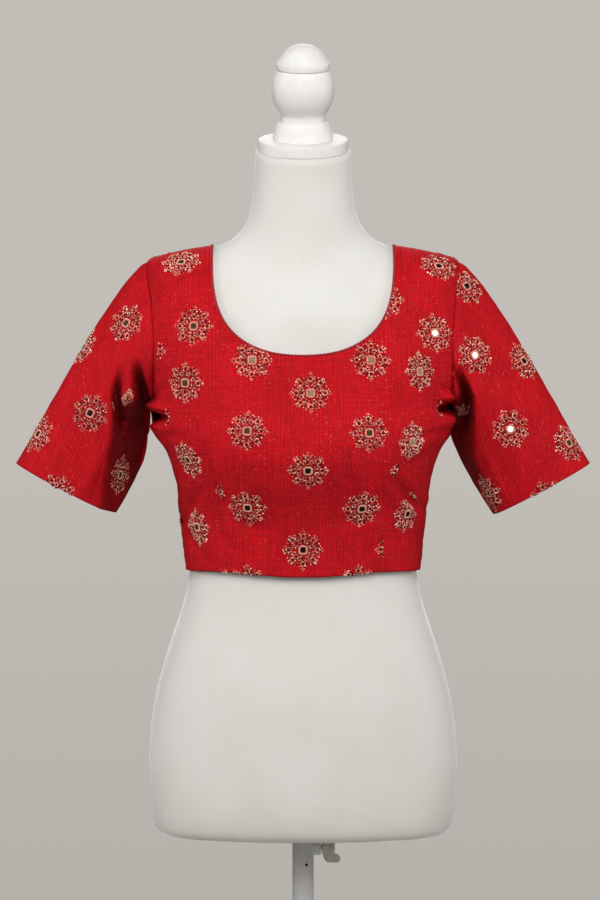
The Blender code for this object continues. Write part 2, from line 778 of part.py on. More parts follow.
def build_screw(shop, parent):
    """The thumb screw: a shank, a barrel and one wing that hangs down."""
    screw = shop.add(
        "clamp_screw",
        cylinder_mesh("clamp_screw", SCREW_BARREL_RADIUS, *SCREW_BARREL, "X", 20),
        shop.screw_metal,
        parent,
    )
    shank = shop.add(
        "screw_shank",
        cylinder_mesh("screw_shank", SCREW_SHANK_RADIUS, TUBE_RADIUS + 1.2, SCREW_BARREL[0] + 4, "X", 12),
        None,
        parent,
        tool=True,
    )
    outline = [
        (SCREW_BARREL[0] + 1.0, -2.0), (SCREW_BARREL[0] + 1.6, -11.0), (SCREW_BARREL[0] + 5.5, -WING_REACH),
        (WING_END - 2.5, -WING_REACH), (WING_END, -WING_REACH + 2.5), (WING_END, -WING_REACH + 6.0),
        (WING_END - 2.0, -WING_REACH + 8.2), (SCREW_BARREL[1] - 1.5, -6.5), (SCREW_BARREL[1] - 2.5, -2.0),
    ]
    curve = bpy.data.curves.new("screw_wing", "CURVE")
    curve.dimensions = "2D"
    curve.fill_mode = "BOTH"
    curve.extrude = WING_THICKNESS / 2 * MM
    spline = curve.splines.new("POLY")
    spline.points.add(len(outline) - 1)
    for spot, (x, z) in zip(spline.points, outline):
        spot.co = (x * MM, z * MM, 0, 1)
    spline.use_cyclic_u = True
    flat = bpy.data.objects.new("screw_wing_outline", curve)
    shop.cutters.objects.link(flat)
    bpy.context.view_layer.update()
    mesh = bpy.data.meshes.new_from_object(flat.evaluated_get(bpy.context.evaluated_depsgraph_get()))
    bpy.data.objects.remove(flat)
    shape = bmesh.new()
    shape.from_mesh(mesh)
    bmesh.ops.remove_doubles(shape, verts=shape.verts, dist=0.001 * MM)
    bmesh.ops.transform(shape, matrix=Matrix.Rotation(math.pi / 2, 4, "X"), verts=shape.verts)
    bmesh.ops.recalc_face_normals(shape, faces=shape.faces)
    shape.to_mesh(mesh)
    shape.free()
    wing = shop.add("screw_wing", mesh, None, parent, tool=True)
    combine(screw, shank, "UNION")
    combine(screw, wing, "UNION")
    return screw


def build_riser(shop, parent):
    """The inner tube that carries the form and slides in the stand's tube."""
    tube = pipe_profile(RISER_RADIUS, RISER_RADIUS - RISER_WALL, -RISER_LENGTH, -TOUCH_GAP)
    return add_screw(shop.add("riser_tube", turned("riser_tube", tube), shop.steel, parent))


def main():
    """Builds the whole object."""
    clear_scene()
    shop = Workshop()
    build_stand(shop)
    riser = shop.pivot("riser_slide", (0, 0, FORM_BASE_HEIGHT))
    build_riser(shop, riser)
    form = shop.pivot("form_swivel", (0, 0, 0), riser)
    build_torso(shop, form)
    build_neck_cap(shop, form)
    build_front(shop, form)
    build_backs(shop, form)
    build_placket(shop, form)
    build_piping(shop, form)
    build_sleeves(shop, form)
    screw = shop.pivot("clamp_turn", (0, 0, FORM_BASE_HEIGHT - SCREW_DROP))
    build_screw(shop, screw)


main()
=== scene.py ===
"""The looks of a red choli blouse with mirror-work butis, on a dress form and a pole stand.

Each sewn piece is built as a fine wall of cloth on the solids' own rings, then folded, hemmed
and settled on the form. Butis are small raised pieces on the cloth: a mirror, its buttonhole
ring and eight petals of metal stitches. The form, its turned neck cap and the stand are
smooth pieces on the frame's sizes. Lengths in the tables are millimetres above the form's
base; meshes are in metres.
"""

from __future__ import annotations

import functools
import json
import logging
import random
from dataclasses import dataclass, field
from enum import Enum
from math import cos, pi, radians, sin, tau
from typing import Any, Callable, Iterable, NamedTuple, Sequence, Union

import bmesh
import bpy
import numpy as np
from bpy.types import ID, Material, Mesh, Node, NodeSocket, Object, World
from mathutils import Matrix, Vector, noise
from mathutils.bvhtree import BVHTree

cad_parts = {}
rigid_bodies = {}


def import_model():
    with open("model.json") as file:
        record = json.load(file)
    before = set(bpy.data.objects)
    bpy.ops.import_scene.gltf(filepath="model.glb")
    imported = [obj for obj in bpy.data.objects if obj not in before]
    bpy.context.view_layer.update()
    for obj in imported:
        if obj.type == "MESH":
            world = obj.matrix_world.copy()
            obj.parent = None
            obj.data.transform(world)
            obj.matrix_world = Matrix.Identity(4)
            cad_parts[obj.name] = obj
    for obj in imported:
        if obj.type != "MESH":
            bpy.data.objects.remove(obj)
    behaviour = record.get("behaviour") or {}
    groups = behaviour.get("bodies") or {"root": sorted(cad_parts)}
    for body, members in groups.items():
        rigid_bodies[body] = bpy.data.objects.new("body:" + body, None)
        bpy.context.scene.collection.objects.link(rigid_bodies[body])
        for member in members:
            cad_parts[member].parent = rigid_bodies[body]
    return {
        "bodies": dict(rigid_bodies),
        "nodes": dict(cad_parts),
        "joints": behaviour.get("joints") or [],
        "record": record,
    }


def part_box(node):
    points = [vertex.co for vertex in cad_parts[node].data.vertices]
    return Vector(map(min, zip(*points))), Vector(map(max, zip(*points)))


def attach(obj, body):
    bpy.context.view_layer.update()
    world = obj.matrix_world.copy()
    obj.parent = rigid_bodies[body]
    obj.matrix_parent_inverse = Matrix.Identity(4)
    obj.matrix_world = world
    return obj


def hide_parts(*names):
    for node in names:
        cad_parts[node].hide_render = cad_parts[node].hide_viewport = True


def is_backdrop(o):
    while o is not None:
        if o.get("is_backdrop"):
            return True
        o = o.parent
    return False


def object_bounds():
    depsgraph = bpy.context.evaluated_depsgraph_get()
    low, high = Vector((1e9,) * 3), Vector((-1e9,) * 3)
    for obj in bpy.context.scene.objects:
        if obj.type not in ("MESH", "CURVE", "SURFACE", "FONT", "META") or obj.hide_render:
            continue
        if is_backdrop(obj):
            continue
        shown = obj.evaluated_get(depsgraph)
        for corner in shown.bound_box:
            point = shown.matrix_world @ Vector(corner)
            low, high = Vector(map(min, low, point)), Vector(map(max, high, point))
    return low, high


LOG = logging.getLogger("choli")
MM = 0.001
ACROSS, DEPTH, UP = np.eye(3)
MIRROR = np.array([-1.0, 1.0, 1.0])
FAR = 99.0
SIDES = (("left", 1), ("right", -1))
Array = np.ndarray
Pair = tuple[float, float]
Triple = tuple[float, float, float]
Colour = Triple


def srgb(red: float, green: float, blue: float) -> Colour:
    """A linear colour from screen values of 0 to 255.

    Args:
        red: The red value.
        green: The green value.
        blue: The blue value.

    Returns:
        The colour.
    """
    return tuple(
        v / 12.92 if v <= 0.04045 else ((v + 0.055) / 1.055) ** 2.4
        for v in (red / 255, green / 255, blue / 255)
    )


# -- shader expressions


@dataclass(eq=False)
class Signal:
    """An output socket whose arithmetic adds nodes beside it."""

    graph: Graph
    socket: NodeSocket

    def apply(self, operation: str, other: Input = 0.0, reflected: bool = False) -> Signal:
        """Any operation of the Math or Vector Math nodes.

        Args:
            operation: The node's operation.
            other: The second value.
            reflected: Whether the second value stands first.

        Returns:
            The result.
        """
        kind, values = "Math", [other, self] if reflected else [self, other]
        if self.socket.type == "VECTOR":
            kind = "VectorMath"
            values = [(v,) * 3 if isinstance(v, (int, float)) else v for v in values]
        return self.graph.make(kind, dict(enumerate(values)), operation=operation)

    def __add__(self, other: Input) -> Signal:
        """The sum."""
        return self.apply("ADD", other)

    def __sub__(self, other: Input) -> Signal:
        """The difference."""
        return self.apply("SUBTRACT", other)

    def __rsub__(self, other: Input) -> Signal:
        """The difference, from the other side."""
        return self.apply("SUBTRACT", other, reflected=True)

    def __mul__(self, other: Input) -> Signal:
        """The product."""
        return self.apply("MULTIPLY", other)

    __radd__ = __add__
    __rmul__ = __mul__

    def ramp(self, low: float, high: float) -> Signal:
        """A smooth rise from nought at low to one at high, or a fall if low is above high."""
        values = {"Value": self, "From Min": low, "From Max": high}
        return self.graph.make("MapRange", values, interpolation_type="SMOOTHSTEP")

    def parts(self, kind: str = "SeparateXYZ") -> list[Signal]:
        """The three numbers of a vector, or of a colour by its own kind of node."""
        return [Signal(self.graph, socket) for socket in self.graph.node(kind, {0: self}).outputs]


Input = Union[Signal, float, int, Sequence[float]]


class Graph:
    """The nodes of a material or of the room, around their shader."""

    def __init__(self, owner: Material | World, shader: str = "Principled BSDF") -> None:
        """Starts the nodes around the first shader.

        Args:
            owner: The material or world.
            shader: The first shader's name.
        """
        self.owner = owner
        owner.use_nodes = True
        self.nodes, self.links = owner.node_tree.nodes, owner.node_tree.links
        self.shader = self.nodes[shader]

    def node(self, kind: str, values: dict | None = None, **settings: Any) -> Node:
        """Adds a node: its settings first, then its values and links.

        Args:
            kind: The node's type, without its prefix.
            values: Numbers, colours or signals by socket.
            settings: Its properties by name.

        Returns:
            The node.
        """
        made = self.nodes.new(f"ShaderNode{kind}")
        for key, value in settings.items():
            setattr(made, key, value)
        for key, value in (values or {}).items():
            self.feed(made.inputs[key], value)
        return made

    def make(self, kind: str, values: dict | None = None, output: int | str = 0, **settings: Any) -> Signal:
        """Adds a node in the same way and gives one of its outputs."""
        return Signal(self, self.node(kind, values, **settings).outputs[output])

    def feed(self, socket: NodeSocket, value: Input) -> None:
        """Links a signal to a socket, or sets its number or colour.

        Args:
            socket: The input.
            value: The signal, number or colour.
        """
        if isinstance(value, Signal):
            self.links.new(value.socket, socket)
        elif isinstance(value, (int, float)):
            socket.default_value = value
        else:
            socket.default_value = (*value, 1.0)[: len(socket.default_value)]

    def mix(self, factor: Input, first: Input, second: Input) -> Signal:
        """The first colour where the factor is nought, the second where it is one."""
        return self.make("Mix", {0: factor, 6: first, 7: second}, 2, data_type="RGBA")

    def attribute(self, name: str) -> Signal:
        """A vector stored on the mesh."""
        return self.make("Attribute", output="Vector", attribute_name=name)

    def noise(self, vector: Input, scale: float = 1.0, detail: float = 2.0) -> Signal:
        """Fractal noise at a point."""
        return self.make("TexNoise", {"Vector": vector, "Scale": scale, "Detail": detail})

    def bump(self, height: Signal, distance: float, strength: float = 1.0) -> Signal:
        """A normal from a height of nought to one, for a relief in metres."""
        values = {"Height": height, "Distance": distance, "Strength": strength}
        return self.make("Bump", values)

    def set(self, **values: Input) -> Material | World:
        """Feeds the shader's sockets, with underscores for spaces, and gives the owner.

        Args:
            values: Signals, numbers or colours by socket name.

        Returns:
            The owner.
        """
        for key, value in values.items():
            self.feed(self.shader.inputs[key.replace("_", " ")], value)
        return self.owner


# -- finishes


@dataclass(frozen=True)
class RibbedCloth:
    """Handloom cloth with fine warp ribs, short weft slubs and specks of metal thread, and painted shade in
    its folds and along its darts, seams and edges.
    """

    name: str = "red_cloth"
    base: Colour = srgb(217, 13, 29)
    light: Colour = srgb(238, 60, 64)
    dark: Colour = srgb(112, 3, 13)
    # deep: the colour of the painted shade that the folds darken towards
    deep: Colour = srgb(44, 1, 16)
    speck: Colour = srgb(244, 132, 112)
    rib_pitch: float = 3.7
    weft_pitch: float = 1.15
    relief: float = 0.5

    def build(self) -> Material:
        """The material, from the cloth's own across and along distances.

        Returns:
            The new material.
        """
        graph = Graph(bpy.data.materials.new(self.name))
        weave, edges = (graph.attribute(name) * (1 / MM) for name in ("weave", "edges"))
        across, along, dart = weave.parts()
        # the seam and hem distances, and the painted shade of the folds
        seam, rim, fold_shade = edges.parts()

        def cloud(across_waves: float, along_waves: float, detail: float = 2) -> Signal:
            """Uneven tones, by their waves to the millimetre."""
            return graph.noise(weave * (across_waves, along_waves, 0), detail=detail)

        drawn = across + cloud(0.05, 0.02, 3) * 5 + cloud(0.12, 0.012) * 2
        rib = (drawn * (tau / self.rib_pitch)).apply("COSINE") * 0.5 + 0.5
        weft = (along * (tau / self.weft_pitch)).apply("COSINE") * 0.5 + 0.5
        streak, bands = cloud(0.62, 0.03, 4), cloud(0.03, 0.42, 4)
        patch, grain = cloud(0.02, 0.014, 3), cloud(1.9, 1.9)
        slub = cloud(0.16, 1.35).ramp(0.54, 0.74)
        # painted shade: a darker line along the darts, the seams and the hem and cuff edges, also pressed in
        # as a shallow groove
        line = (dart.apply("ABSOLUTE").ramp(0.9, 0.2) * 0.45).apply("MAXIMUM", seam.ramp(1.5, 0.2) * 0.6)
        line = line.apply("MAXIMUM", rim.ramp(1.6, 0.2))
        cell = {"Vector": weave * (0.2, 0.62, 0), "Scale": 1.0, "Randomness": 1.0}
        cells = graph.node("TexVoronoi", cell).outputs
        chance = Signal(graph, cells["Color"]).parts("SeparateColor")[0].ramp(0.68, 0.86)
        clumps = cloud(0.03, 0.03).ramp(0.4, 0.65) * 0.75 + 0.25
        specks = Signal(graph, cells["Distance"]).ramp(0.3, 0.14) * (chance * clumps)
        worn = rib * 0.26 + weft * 0.08 + streak.ramp(0.3, 0.7) * 0.48 + bands.ramp(0.3, 0.7) * 0.34
        tone = graph.mix(0.28, graph.mix(worn, self.dark, self.base), self.base)
        for share, colour in (
            (slub * 0.45 + grain.ramp(0.5, 0.9) * 0.35, self.light),
            (patch.ramp(0.3, 0.72) * 0.22, self.dark),
            # painted shade along the darts, seams and edges
            (line * 0.65, self.dark),
            # painted shade: darker where the cloth lies deep in a fold
            (fold_shade * 0.55, self.deep),
            (specks * 0.56, self.speck),
        ):
            tone = graph.mix(share, tone, colour)
        height = rib * 0.26 + weft * 0.14 + slub * 0.45 + grain * 0.5 + streak * 0.4 + bands * 0.3
        return graph.set(
            Base_Color=tone,
            Roughness=0.78 - specks * 0.4,
            Metallic=specks * 0.5,
            Specular_IOR_Level=0.12,
            Normal=graph.bump(height - line * 0.5, self.relief * MM),
        )


@dataclass(frozen=True)
class Mottled:
    """Any plain finish: a screen colour that drifts to a shade, with fine relief."""

    name: str
    colour: tuple[int, int, int]
    shade: tuple[int, int, int]
    roughness: float
    metallic: float = 0.0
    coat: float = 0.0
    specular: float = 0.3
    glow: float = 0.0
    sheen: float = 0.0
    drift: float = 0.6
    grain: Triple = (2.4, 2.4, 2.4)
    relief: float = 0.15

    def build(self) -> Material:
        """The material; drift and grain count waves to the millimetre.

        Returns:
            The new material.
        """
        graph = Graph(bpy.data.materials.new(self.name))
        colour, shade = srgb(*self.colour), srgb(*self.shade)
        place = graph.make("TexCoord", output="Object") * (1 / MM)
        cloud = graph.noise(place, self.drift, 3)
        fibre = graph.noise(place * self.grain, 1.0, 3)
        tone = graph.mix(cloud.ramp(0.35, 0.75), colour, shade)
        # painted light: a finish with glow lights itself, as the bright mirror's painted highlight
        if self.glow:
            graph.set(Emission_Color=colour, Emission_Strength=self.glow)
        return graph.set(
            Base_Color=graph.mix(fibre.ramp(0.5, 0.85) * 0.4, tone, shade),
            Roughness=fibre * 0.12 + self.roughness,
            Metallic=self.metallic,
            Coat_Weight=self.coat,
            Specular_IOR_Level=self.specular,
            Sheen_Weight=self.sheen,
            Sheen_Roughness=0.35,
            Normal=graph.bump(fibre * 0.7 + cloud * 0.3, self.relief * MM, 0.7),
        )


class Finish(Enum):
    """The finishes that the object's pieces use."""

    CLOTH = RibbedCloth()
    CORD = Mottled("neck_cord", (170, 54, 60), (124, 30, 38), 0.75, specular=0.1)
    SEAM = Mottled("seam_thread", (164, 10, 24), (116, 5, 14), 0.8, specular=0.05)
    STITCH = Mottled("stitch_thread", (150, 10, 24), (110, 6, 16), 0.7, specular=0.1)
    RING = Mottled("ring_thread", (226, 186, 164), (182, 136, 118), 0.65, specular=0.2)
    GOLD = Mottled("rose_gold", (248, 172, 148), (216, 128, 106), 0.36, 0.5)
    GLINT = Mottled("champagne", (255, 224, 206), (252, 196, 174), 0.3, 0.6)
    ROSE = Mottled("rose_thread", (216, 118, 104), (172, 78, 68), 0.5, 0.12)
    DUST = Mottled("ground_thread", (114, 18, 26), (80, 8, 16), 0.7, specular=0.1, drift=1.6)
    BRONZE = Mottled("bronze", (150, 74, 62), (96, 32, 32), 0.45, 0.25)
    EYE = Mottled("eye_bead", (92, 18, 18), (60, 10, 10), 0.6, specular=0.1)
    # painted reflections: each mirror is a flat colour for what it reflects, and the bright one glows as a
    # painted highlight
    DARK_MIRROR = Mottled("dark_mirror", (34, 16, 10), (18, 8, 6), 0.2, specular=0.12)
    GREEN_MIRROR = Mottled("green_mirror", (80, 58, 30), (38, 30, 14), 0.3, specular=0.08)
    PALE_MIRROR = Mottled("pale_mirror", (164, 132, 102), (128, 100, 74), 0.5, specular=0.1)
    BRIGHT_MIRROR = Mottled("bright_mirror", (255, 252, 246), (240, 232, 220), 0.12, glow=1.0)
    JERSEY = Mottled(
        "white_jersey", (221, 219, 214), (214, 211, 205), 0.9, specular=0.2, sheen=0.85, drift=0.012,
        grain=(0.09, 0.09, 0.6), relief=0.12,
    )
    PAINT = Mottled(
        "white_paint", (232, 230, 227), (227, 224, 220), 0.5, coat=0.05, specular=0.2, drift=0.1,
        grain=(0.05, 0.05, 0.9), relief=0.08,
    )
    STEEL = Mottled(
        "grey_steel", (203, 204, 205), (192, 193, 193), 0.5, 0.15, drift=0.03,
        grain=(2.6, 2.6, 0.04), relief=0.06,
    )
    CAST = Mottled(
        "screw_metal", (202, 198, 190), (160, 156, 148), 0.5, 0.2, drift=0.1, grain=(0.8, 0.8, 0.8),
    )
    PIN = Mottled("pin_rubber", (24, 21, 19), (13, 11, 10), 0.55, specular=0.15)

    @functools.cache
    def material(self) -> Material:
        """The finish's material, made once."""
        return self.value.build()


# -- meshes


def placed(name: str, data: ID, place: Sequence[float] = (0, 0, 0)) -> Object:
    """A new object in the scene, at a place in metres.

    Args:
        name: Its name.
        data: Its mesh or lamp.
        place: Its place.

    Returns:
        The object.
    """
    made = bpy.data.objects.new(name, data)
    made.location = place
    bpy.context.scene.collection.objects.link(made)
    return made


def piece(mesh: Mesh, finishes: Sequence[Finish], body: str,
          stands_for: Sequence[str] = (), smooth_angle: float = 40.0) -> Object:
    """Puts a mesh in the scene as a piece of the object.

    Args:
        mesh: The mesh, with the piece's name.
        finishes: Its materials in order.
        body: The body it rides on.
        stands_for: The nodes it replaces.
        smooth_angle: Edges sharper than this stay sharp.

    Returns:
        The object.
    """
    made = placed(mesh.name, mesh)
    for finish in finishes:
        mesh.materials.append(finish.material())
    mesh.shade_smooth()
    mesh.set_sharp_from_angle(angle=radians(smooth_angle))
    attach(made, body)
    if stands_for:
        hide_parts(*stands_for)
    LOG.info("%s: %d faces on %s", made.name, len(mesh.polygons), body)
    return made


def modify(made: Object, kind: str, **settings: Any) -> None:
    """Adds a modifier with its settings.

    Args:
        made: The piece.
        kind: The modifier's type.
        settings: Its properties by name.
    """
    added = made.modifiers.new(kind.lower(), kind)
    for key, value in settings.items():
        setattr(added, key, value)


def soften(made: Object, width: float, segments: int = 2, angle: float = 30.0) -> None:
    """Rounds the edges sharper than an angle in degrees, by a width in millimetres."""
    limit = radians(angle)
    modify(made, "BEVEL", width=width * MM, segments=segments, limit_method="ANGLE", angle_limit=limit)


def cut_out(made: Object, drill: Mesh) -> None:
    """Cuts another mesh out of a piece for good.

    Args:
        made: The piece.
        drill: The mesh to cut out.
    """
    cutter = placed(drill.name, drill)
    modify(made, "BOOLEAN", object=cutter, solver="EXACT")
    bpy.context.view_layer.update()
    graph = bpy.context.evaluated_depsgraph_get()
    cut = bpy.data.meshes.new_from_object(made.evaluated_get(graph))
    made.modifiers.clear()
    made.data = cut
    bpy.data.objects.remove(cutter)


def finished_mesh(shape: bmesh.types.BMesh, name: str) -> Mesh:
    """Writes a bmesh to a new mesh and frees it.

    Args:
        shape: The bmesh.
        name: The mesh's name.

    Returns:
        The mesh.
    """
    mesh = bpy.data.meshes.new(name)
    shape.to_mesh(mesh)
    shape.free()
    return mesh


def ringed_mesh(name: str, rings: Iterable[Iterable[Sequence[float]]], closed: bool = True,
                merge: float = 0.0) -> Mesh:
    """A skin over rings of points, each joined to the next.

    Args:
        name: The mesh's name.
        rings: Rings in metres with as many points each.
        closed: Whether the ends are closed with a cap.
        merge: How near points are joined, in millimetres.

    Returns:
        The mesh.
    """
    shape = bmesh.new()
    rows = [[shape.verts.new(point) for point in ring] for ring in rings]
    for lower, upper in zip(rows, rows[1:]):
        for side in range(len(lower)):
            after = (side + 1) % len(lower)
            shape.faces.new((lower[side], lower[after], upper[after], upper[side]))
    if closed:
        shape.faces.new(rows[0][::-1])
        shape.faces.new(rows[-1])
    if merge:
        bmesh.ops.remove_doubles(shape, verts=shape.verts, dist=merge * MM)
    bmesh.ops.recalc_face_normals(shape, faces=shape.faces)
    return finished_mesh(shape, name)


def turned_mesh(name: str, profile: Sequence[Pair], place: Matrix | None = None,
                sides: int = 96, closed: bool = False) -> Mesh:
    """Turns a profile round its own Z axis.

    Args:
        name: The mesh's name.
        profile: Radius and height, in metres.
        place: Where it goes, if not upright at the origin.
        sides: How many sides it has.
        closed: Whether the ends are closed with a cap.

    Returns:
        The mesh.
    """
    ways = [(cos(a), sin(a)) for a in (tau * side / sides for side in range(sides))]
    rings = [[(radius * x, radius * y, height) for x, y in ways] for radius, height in profile]
    mesh = ringed_mesh(name, rings, closed, merge=0.005)
    mesh.transform(place or Matrix.Identity(4))
    return mesh


def rings_round(middles: Array, first: Array, second: Array, sides: int = 8) -> Array:
    """Rings of points round middles, through the tips of two half axes at each."""
    turns = [tau * side / sides for side in range(sides)]
    return np.stack([middles + cos(a) * first + sin(a) * second for a in turns], axis=1)


def in_metres(points: Array, base: float) -> Array:
    """Points in millimetres above the form's base, in the frame's own metres."""
    return points * MM + UP * base


def catmull_rom(table: Array, rows: Array) -> Array:
    """Values at fractional rows of a table, on a smooth curve.

    Args:
        table: One row of numbers for each station.
        rows: The fractional rows wanted.

    Returns:
        One row of numbers for each fractional row.
    """
    last = len(table) - 1
    row = np.clip(np.floor(rows).astype(int), 0, last - 1)
    t = (rows - row)[..., None]
    before, start, end, after = (table[np.clip(row + k, 0, last)] for k in (-1, 0, 1, 2))
    slope = 0.5 * t * (end - before)
    curve = t * t * (before - 2.5 * start + 2 * end - 0.5 * after)
    twist = 0.5 * t**3 * (3 * (start - end) + after - before)
    return start + slope + curve + twist


def unit(vectors: Array) -> Array:
    """Vectors scaled to a length of one."""
    return vectors / np.maximum(np.linalg.norm(vectors, axis=-1, keepdims=True), 1e-12)


def rise(values: Array, low: float, high: float) -> Array:
    """A smooth rise from nought at low to one at high."""
    t = np.clip((values - low) / (high - low), 0.0, 1.0)
    return t * t * (3 - 2 * t)


def bell(values: Array, width: float) -> Array:
    """One at nought, falling smoothly away on both sides of it."""
    return np.exp(-((values / width) ** 2))


def halved(low: Array, high: Array, is_short: Callable[[Array], Array]) -> Array:
    """The places where a test stops holding, between two bounds.

    Args:
        low: Where the test holds.
        high: Where it doesn't.
        is_short: The test.

    Returns:
        The places.
    """
    for _ in range(40):
        middle = (low + high) / 2
        short = is_short(middle)
        low, high = np.where(short, middle, low), np.where(short, high, middle)
    return (low + high) / 2


def run_along(points: Array, axis: int = 0) -> Array:
    """The distance to each point along a path or a grid's lines."""
    steps = np.linalg.norm(np.diff(points, axis=axis), axis=-1)
    return np.cumsum(np.insert(steps, 0, 0.0, axis=axis), axis=axis)


def spaced(path: Array, spacing: float, more: int = 0) -> Array:
    """Even points on a path.

    Args:
        path: The path's points.
        spacing: How far apart they lie.
        more: How many more.

    Returns:
        The even points.
    """
    run = run_along(path)
    places = np.linspace(0, run[-1], int(run[-1] / spacing) + more)
    return np.stack([np.interp(places, run, path[:, k]) for k in range(3)], -1)


def tree_of(node: Object) -> BVHTree:
    """A search tree over a frame node's faces."""
    mesh = node.data
    return BVHTree.FromPolygons([v.co for v in mesh.vertices], [tuple(p.vertices) for p in mesh.polygons])


# -- camera


class Lamp(NamedTuple):
    """A soft square lamp that faces the blouse, in metres and watts."""

    name: str
    place: Triple
    size: float
    power: float


@dataclass(frozen=True)
class Studio:
    """The camera, the floor, the lights and the room's tone."""

    frame_width_px: int = 600
    frame_height_px: int = 900
    distance: float = 6.5
    eye_height: float = 1.375
    metres_per_px: float = 0.00108
    pole_column_px: float = 303.0
    form_base_row_px: float = 835.5
    sensor: float = 36.0
    backdrop_low: Colour = srgb(180, 175, 169)
    backdrop_high: Colour = srgb(194, 189, 183)
    backdrop_rise: Pair = (-0.15, -0.065)
    room_light: float = 0.09
    floor_tone: Colour = srgb(190, 186, 180)
    floor_radius: float = 1.5
    lit_height: float = 0.95
    lamps: tuple[Lamp, ...] = (
        Lamp("key", (0.0, -2.2, 2.6), 1.6, 57.0),
        Lamp("front", (0.0, -3.4, 1.7), 1.6, 14.0),
        Lamp("left", (-2.4, -0.8, 1.7), 1.4, 27.0),
        Lamp("right", (2.4, -0.8, 1.7), 1.4, 24.5),
        Lamp("back", (0.0, 3.0, 2.3), 1.6, 42.0),
    )

    def aim(self) -> tuple[Vector, Vector]:
        """The camera's place and the point that it looks at.

        Returns:
            Both in metres.
        """
        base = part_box("form_torso")[0].z
        side = (self.frame_width_px / 2 - self.pole_column_px) * self.metres_per_px
        height = base + (self.form_base_row_px - self.frame_height_px / 2) * self.metres_per_px
        return Vector((side, -self.distance, self.eye_height)), Vector((side, 0.0, height))

    def turn(self) -> Matrix:
        """The camera's rotation."""
        eye, target = self.aim()
        return (target - eye).to_track_quat("-Z", "Y").to_matrix()

    def focal_share(self) -> float:
        """The focal length as a share of the frame's height."""
        eye, target = self.aim()
        return (target - eye).length / (self.frame_height_px * self.metres_per_px)

    def ray(self, column: float, row: float) -> tuple[Vector, Vector]:
        """The camera's place and the direction through a place in its frame.

        Args:
            column: Pixels from the left.
            row: Pixels from the top.

        Returns:
            The place and the direction.
        """
        across = (column - self.frame_width_px / 2) / self.frame_height_px
        up = (self.frame_height_px / 2 - row) / self.frame_height_px
        way = self.turn() @ Vector((across, up, -self.focal_share()))
        return self.aim()[0], way.normalized()

    def place(self, points: Array) -> tuple[Array, Array]:
        """Where points show in the frame, in pixels from the top left.

        Args:
            points: Points in metres.

        Returns:
            Columns and rows.
        """
        seen = (points - np.array(self.aim()[0])) @ np.array(self.turn())
        scale = self.focal_share() * self.frame_height_px / -seen[..., 2]
        return self.frame_width_px / 2 + seen[..., 0] * scale, self.frame_height_px / 2 - seen[..., 1] * scale

    def build(self) -> None:
        """Makes the camera, floor, room and lamps."""
        data = bpy.data.cameras.new("camera")
        data.sensor_fit = "VERTICAL"
        data.sensor_width = data.sensor_height = self.sensor
        data.lens = self.focal_share() * self.sensor
        camera = placed("camera", data, self.aim()[0])
        camera.rotation_euler = self.turn().to_euler()
        bpy.context.scene.camera = camera
        bpy.context.scene.view_settings.view_transform = "Standard"
        self.floor()
        self.room()
        for lamp in self.lamps:
            data = bpy.data.lights.new(lamp.name, "AREA")
            data.size, data.energy = lamp.size, lamp.power
            way = Vector((0, 0, self.lit_height)) - Vector(lamp.place)
            placed(lamp.name, data, lamp.place).rotation_euler = way.to_track_quat("-Z", "Y").to_euler()

    def floor(self) -> None:
        """A plain pale floor under the stand."""
        graph = Graph(bpy.data.materials.new("floor"))
        mesh = turned_mesh("floor", [(self.floor_radius, 0.0), (0.0, 0.0)])
        mesh.materials.append(graph.set(Base_Color=self.floor_tone, Roughness=0.9))
        placed("floor", mesh, (0, 0, -0.5 * MM))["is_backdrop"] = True

    def room(self) -> None:
        """The room's tone, brighter to the eye than its light on the object."""
        graph = Graph(bpy.data.worlds.new("room"), "Background")
        low, high = self.backdrop_rise
        height = graph.make("TexCoord", output="Generated").parts()[2]
        share = graph.make("MapRange", {"Value": height, "From Min": low, "From Max": high})
        bpy.context.scene.world = graph.set(Color=graph.mix(share, self.backdrop_low, self.backdrop_high))
        light = {"Color": self.backdrop_high, "Strength": self.room_light}
        lit = graph.make("Background", light)
        to_eye = graph.make("LightPath", output="Is Camera Ray")
        seen = Signal(graph, graph.shader.outputs[0])
        both = graph.make("MixShader", {0: to_eye, 1: lit, 2: seen})
        graph.feed(graph.nodes["World Output"].inputs[0], both)


# -- the blouse's shape


class Ring(NamedTuple):
    """One ring of the blouse body, by its side, front and back points."""

    side_z: float
    half_width: float
    front_z: float
    front_depth: float
    back_z: float
    back_depth: float
    squareness: float


class Trough(NamedTuple):
    """A soft trough pressed into the front, alike on both sides."""

    x: float
    z: float
    half_length: float
    half_width: float
    lean: float
    depth: float


class Pleat(NamedTuple):
    """A fold down a sleeve's front: its line in the frame, its side widths and depth."""

    line: tuple[Pair, ...]
    outer_width: float
    inner_width: float
    depth: float


class SleeveShape(NamedTuple):
    """How a sleeve hangs: its pleats, and the hinge where its inner side turns back."""

    pleats: tuple[Pleat, ...]
    hinge: tuple[Pair, ...]
    hinge_rows: Pair
    slopes: tuple[Pair, ...]
    rearmost: float
    fullness: tuple[Pair, ...]


class Crease(NamedTuple):
    """A drag line on the body, from one point to another in the frontal plane."""

    x0: float
    z0: float
    x1: float
    z1: float
    width: float
    depth: float


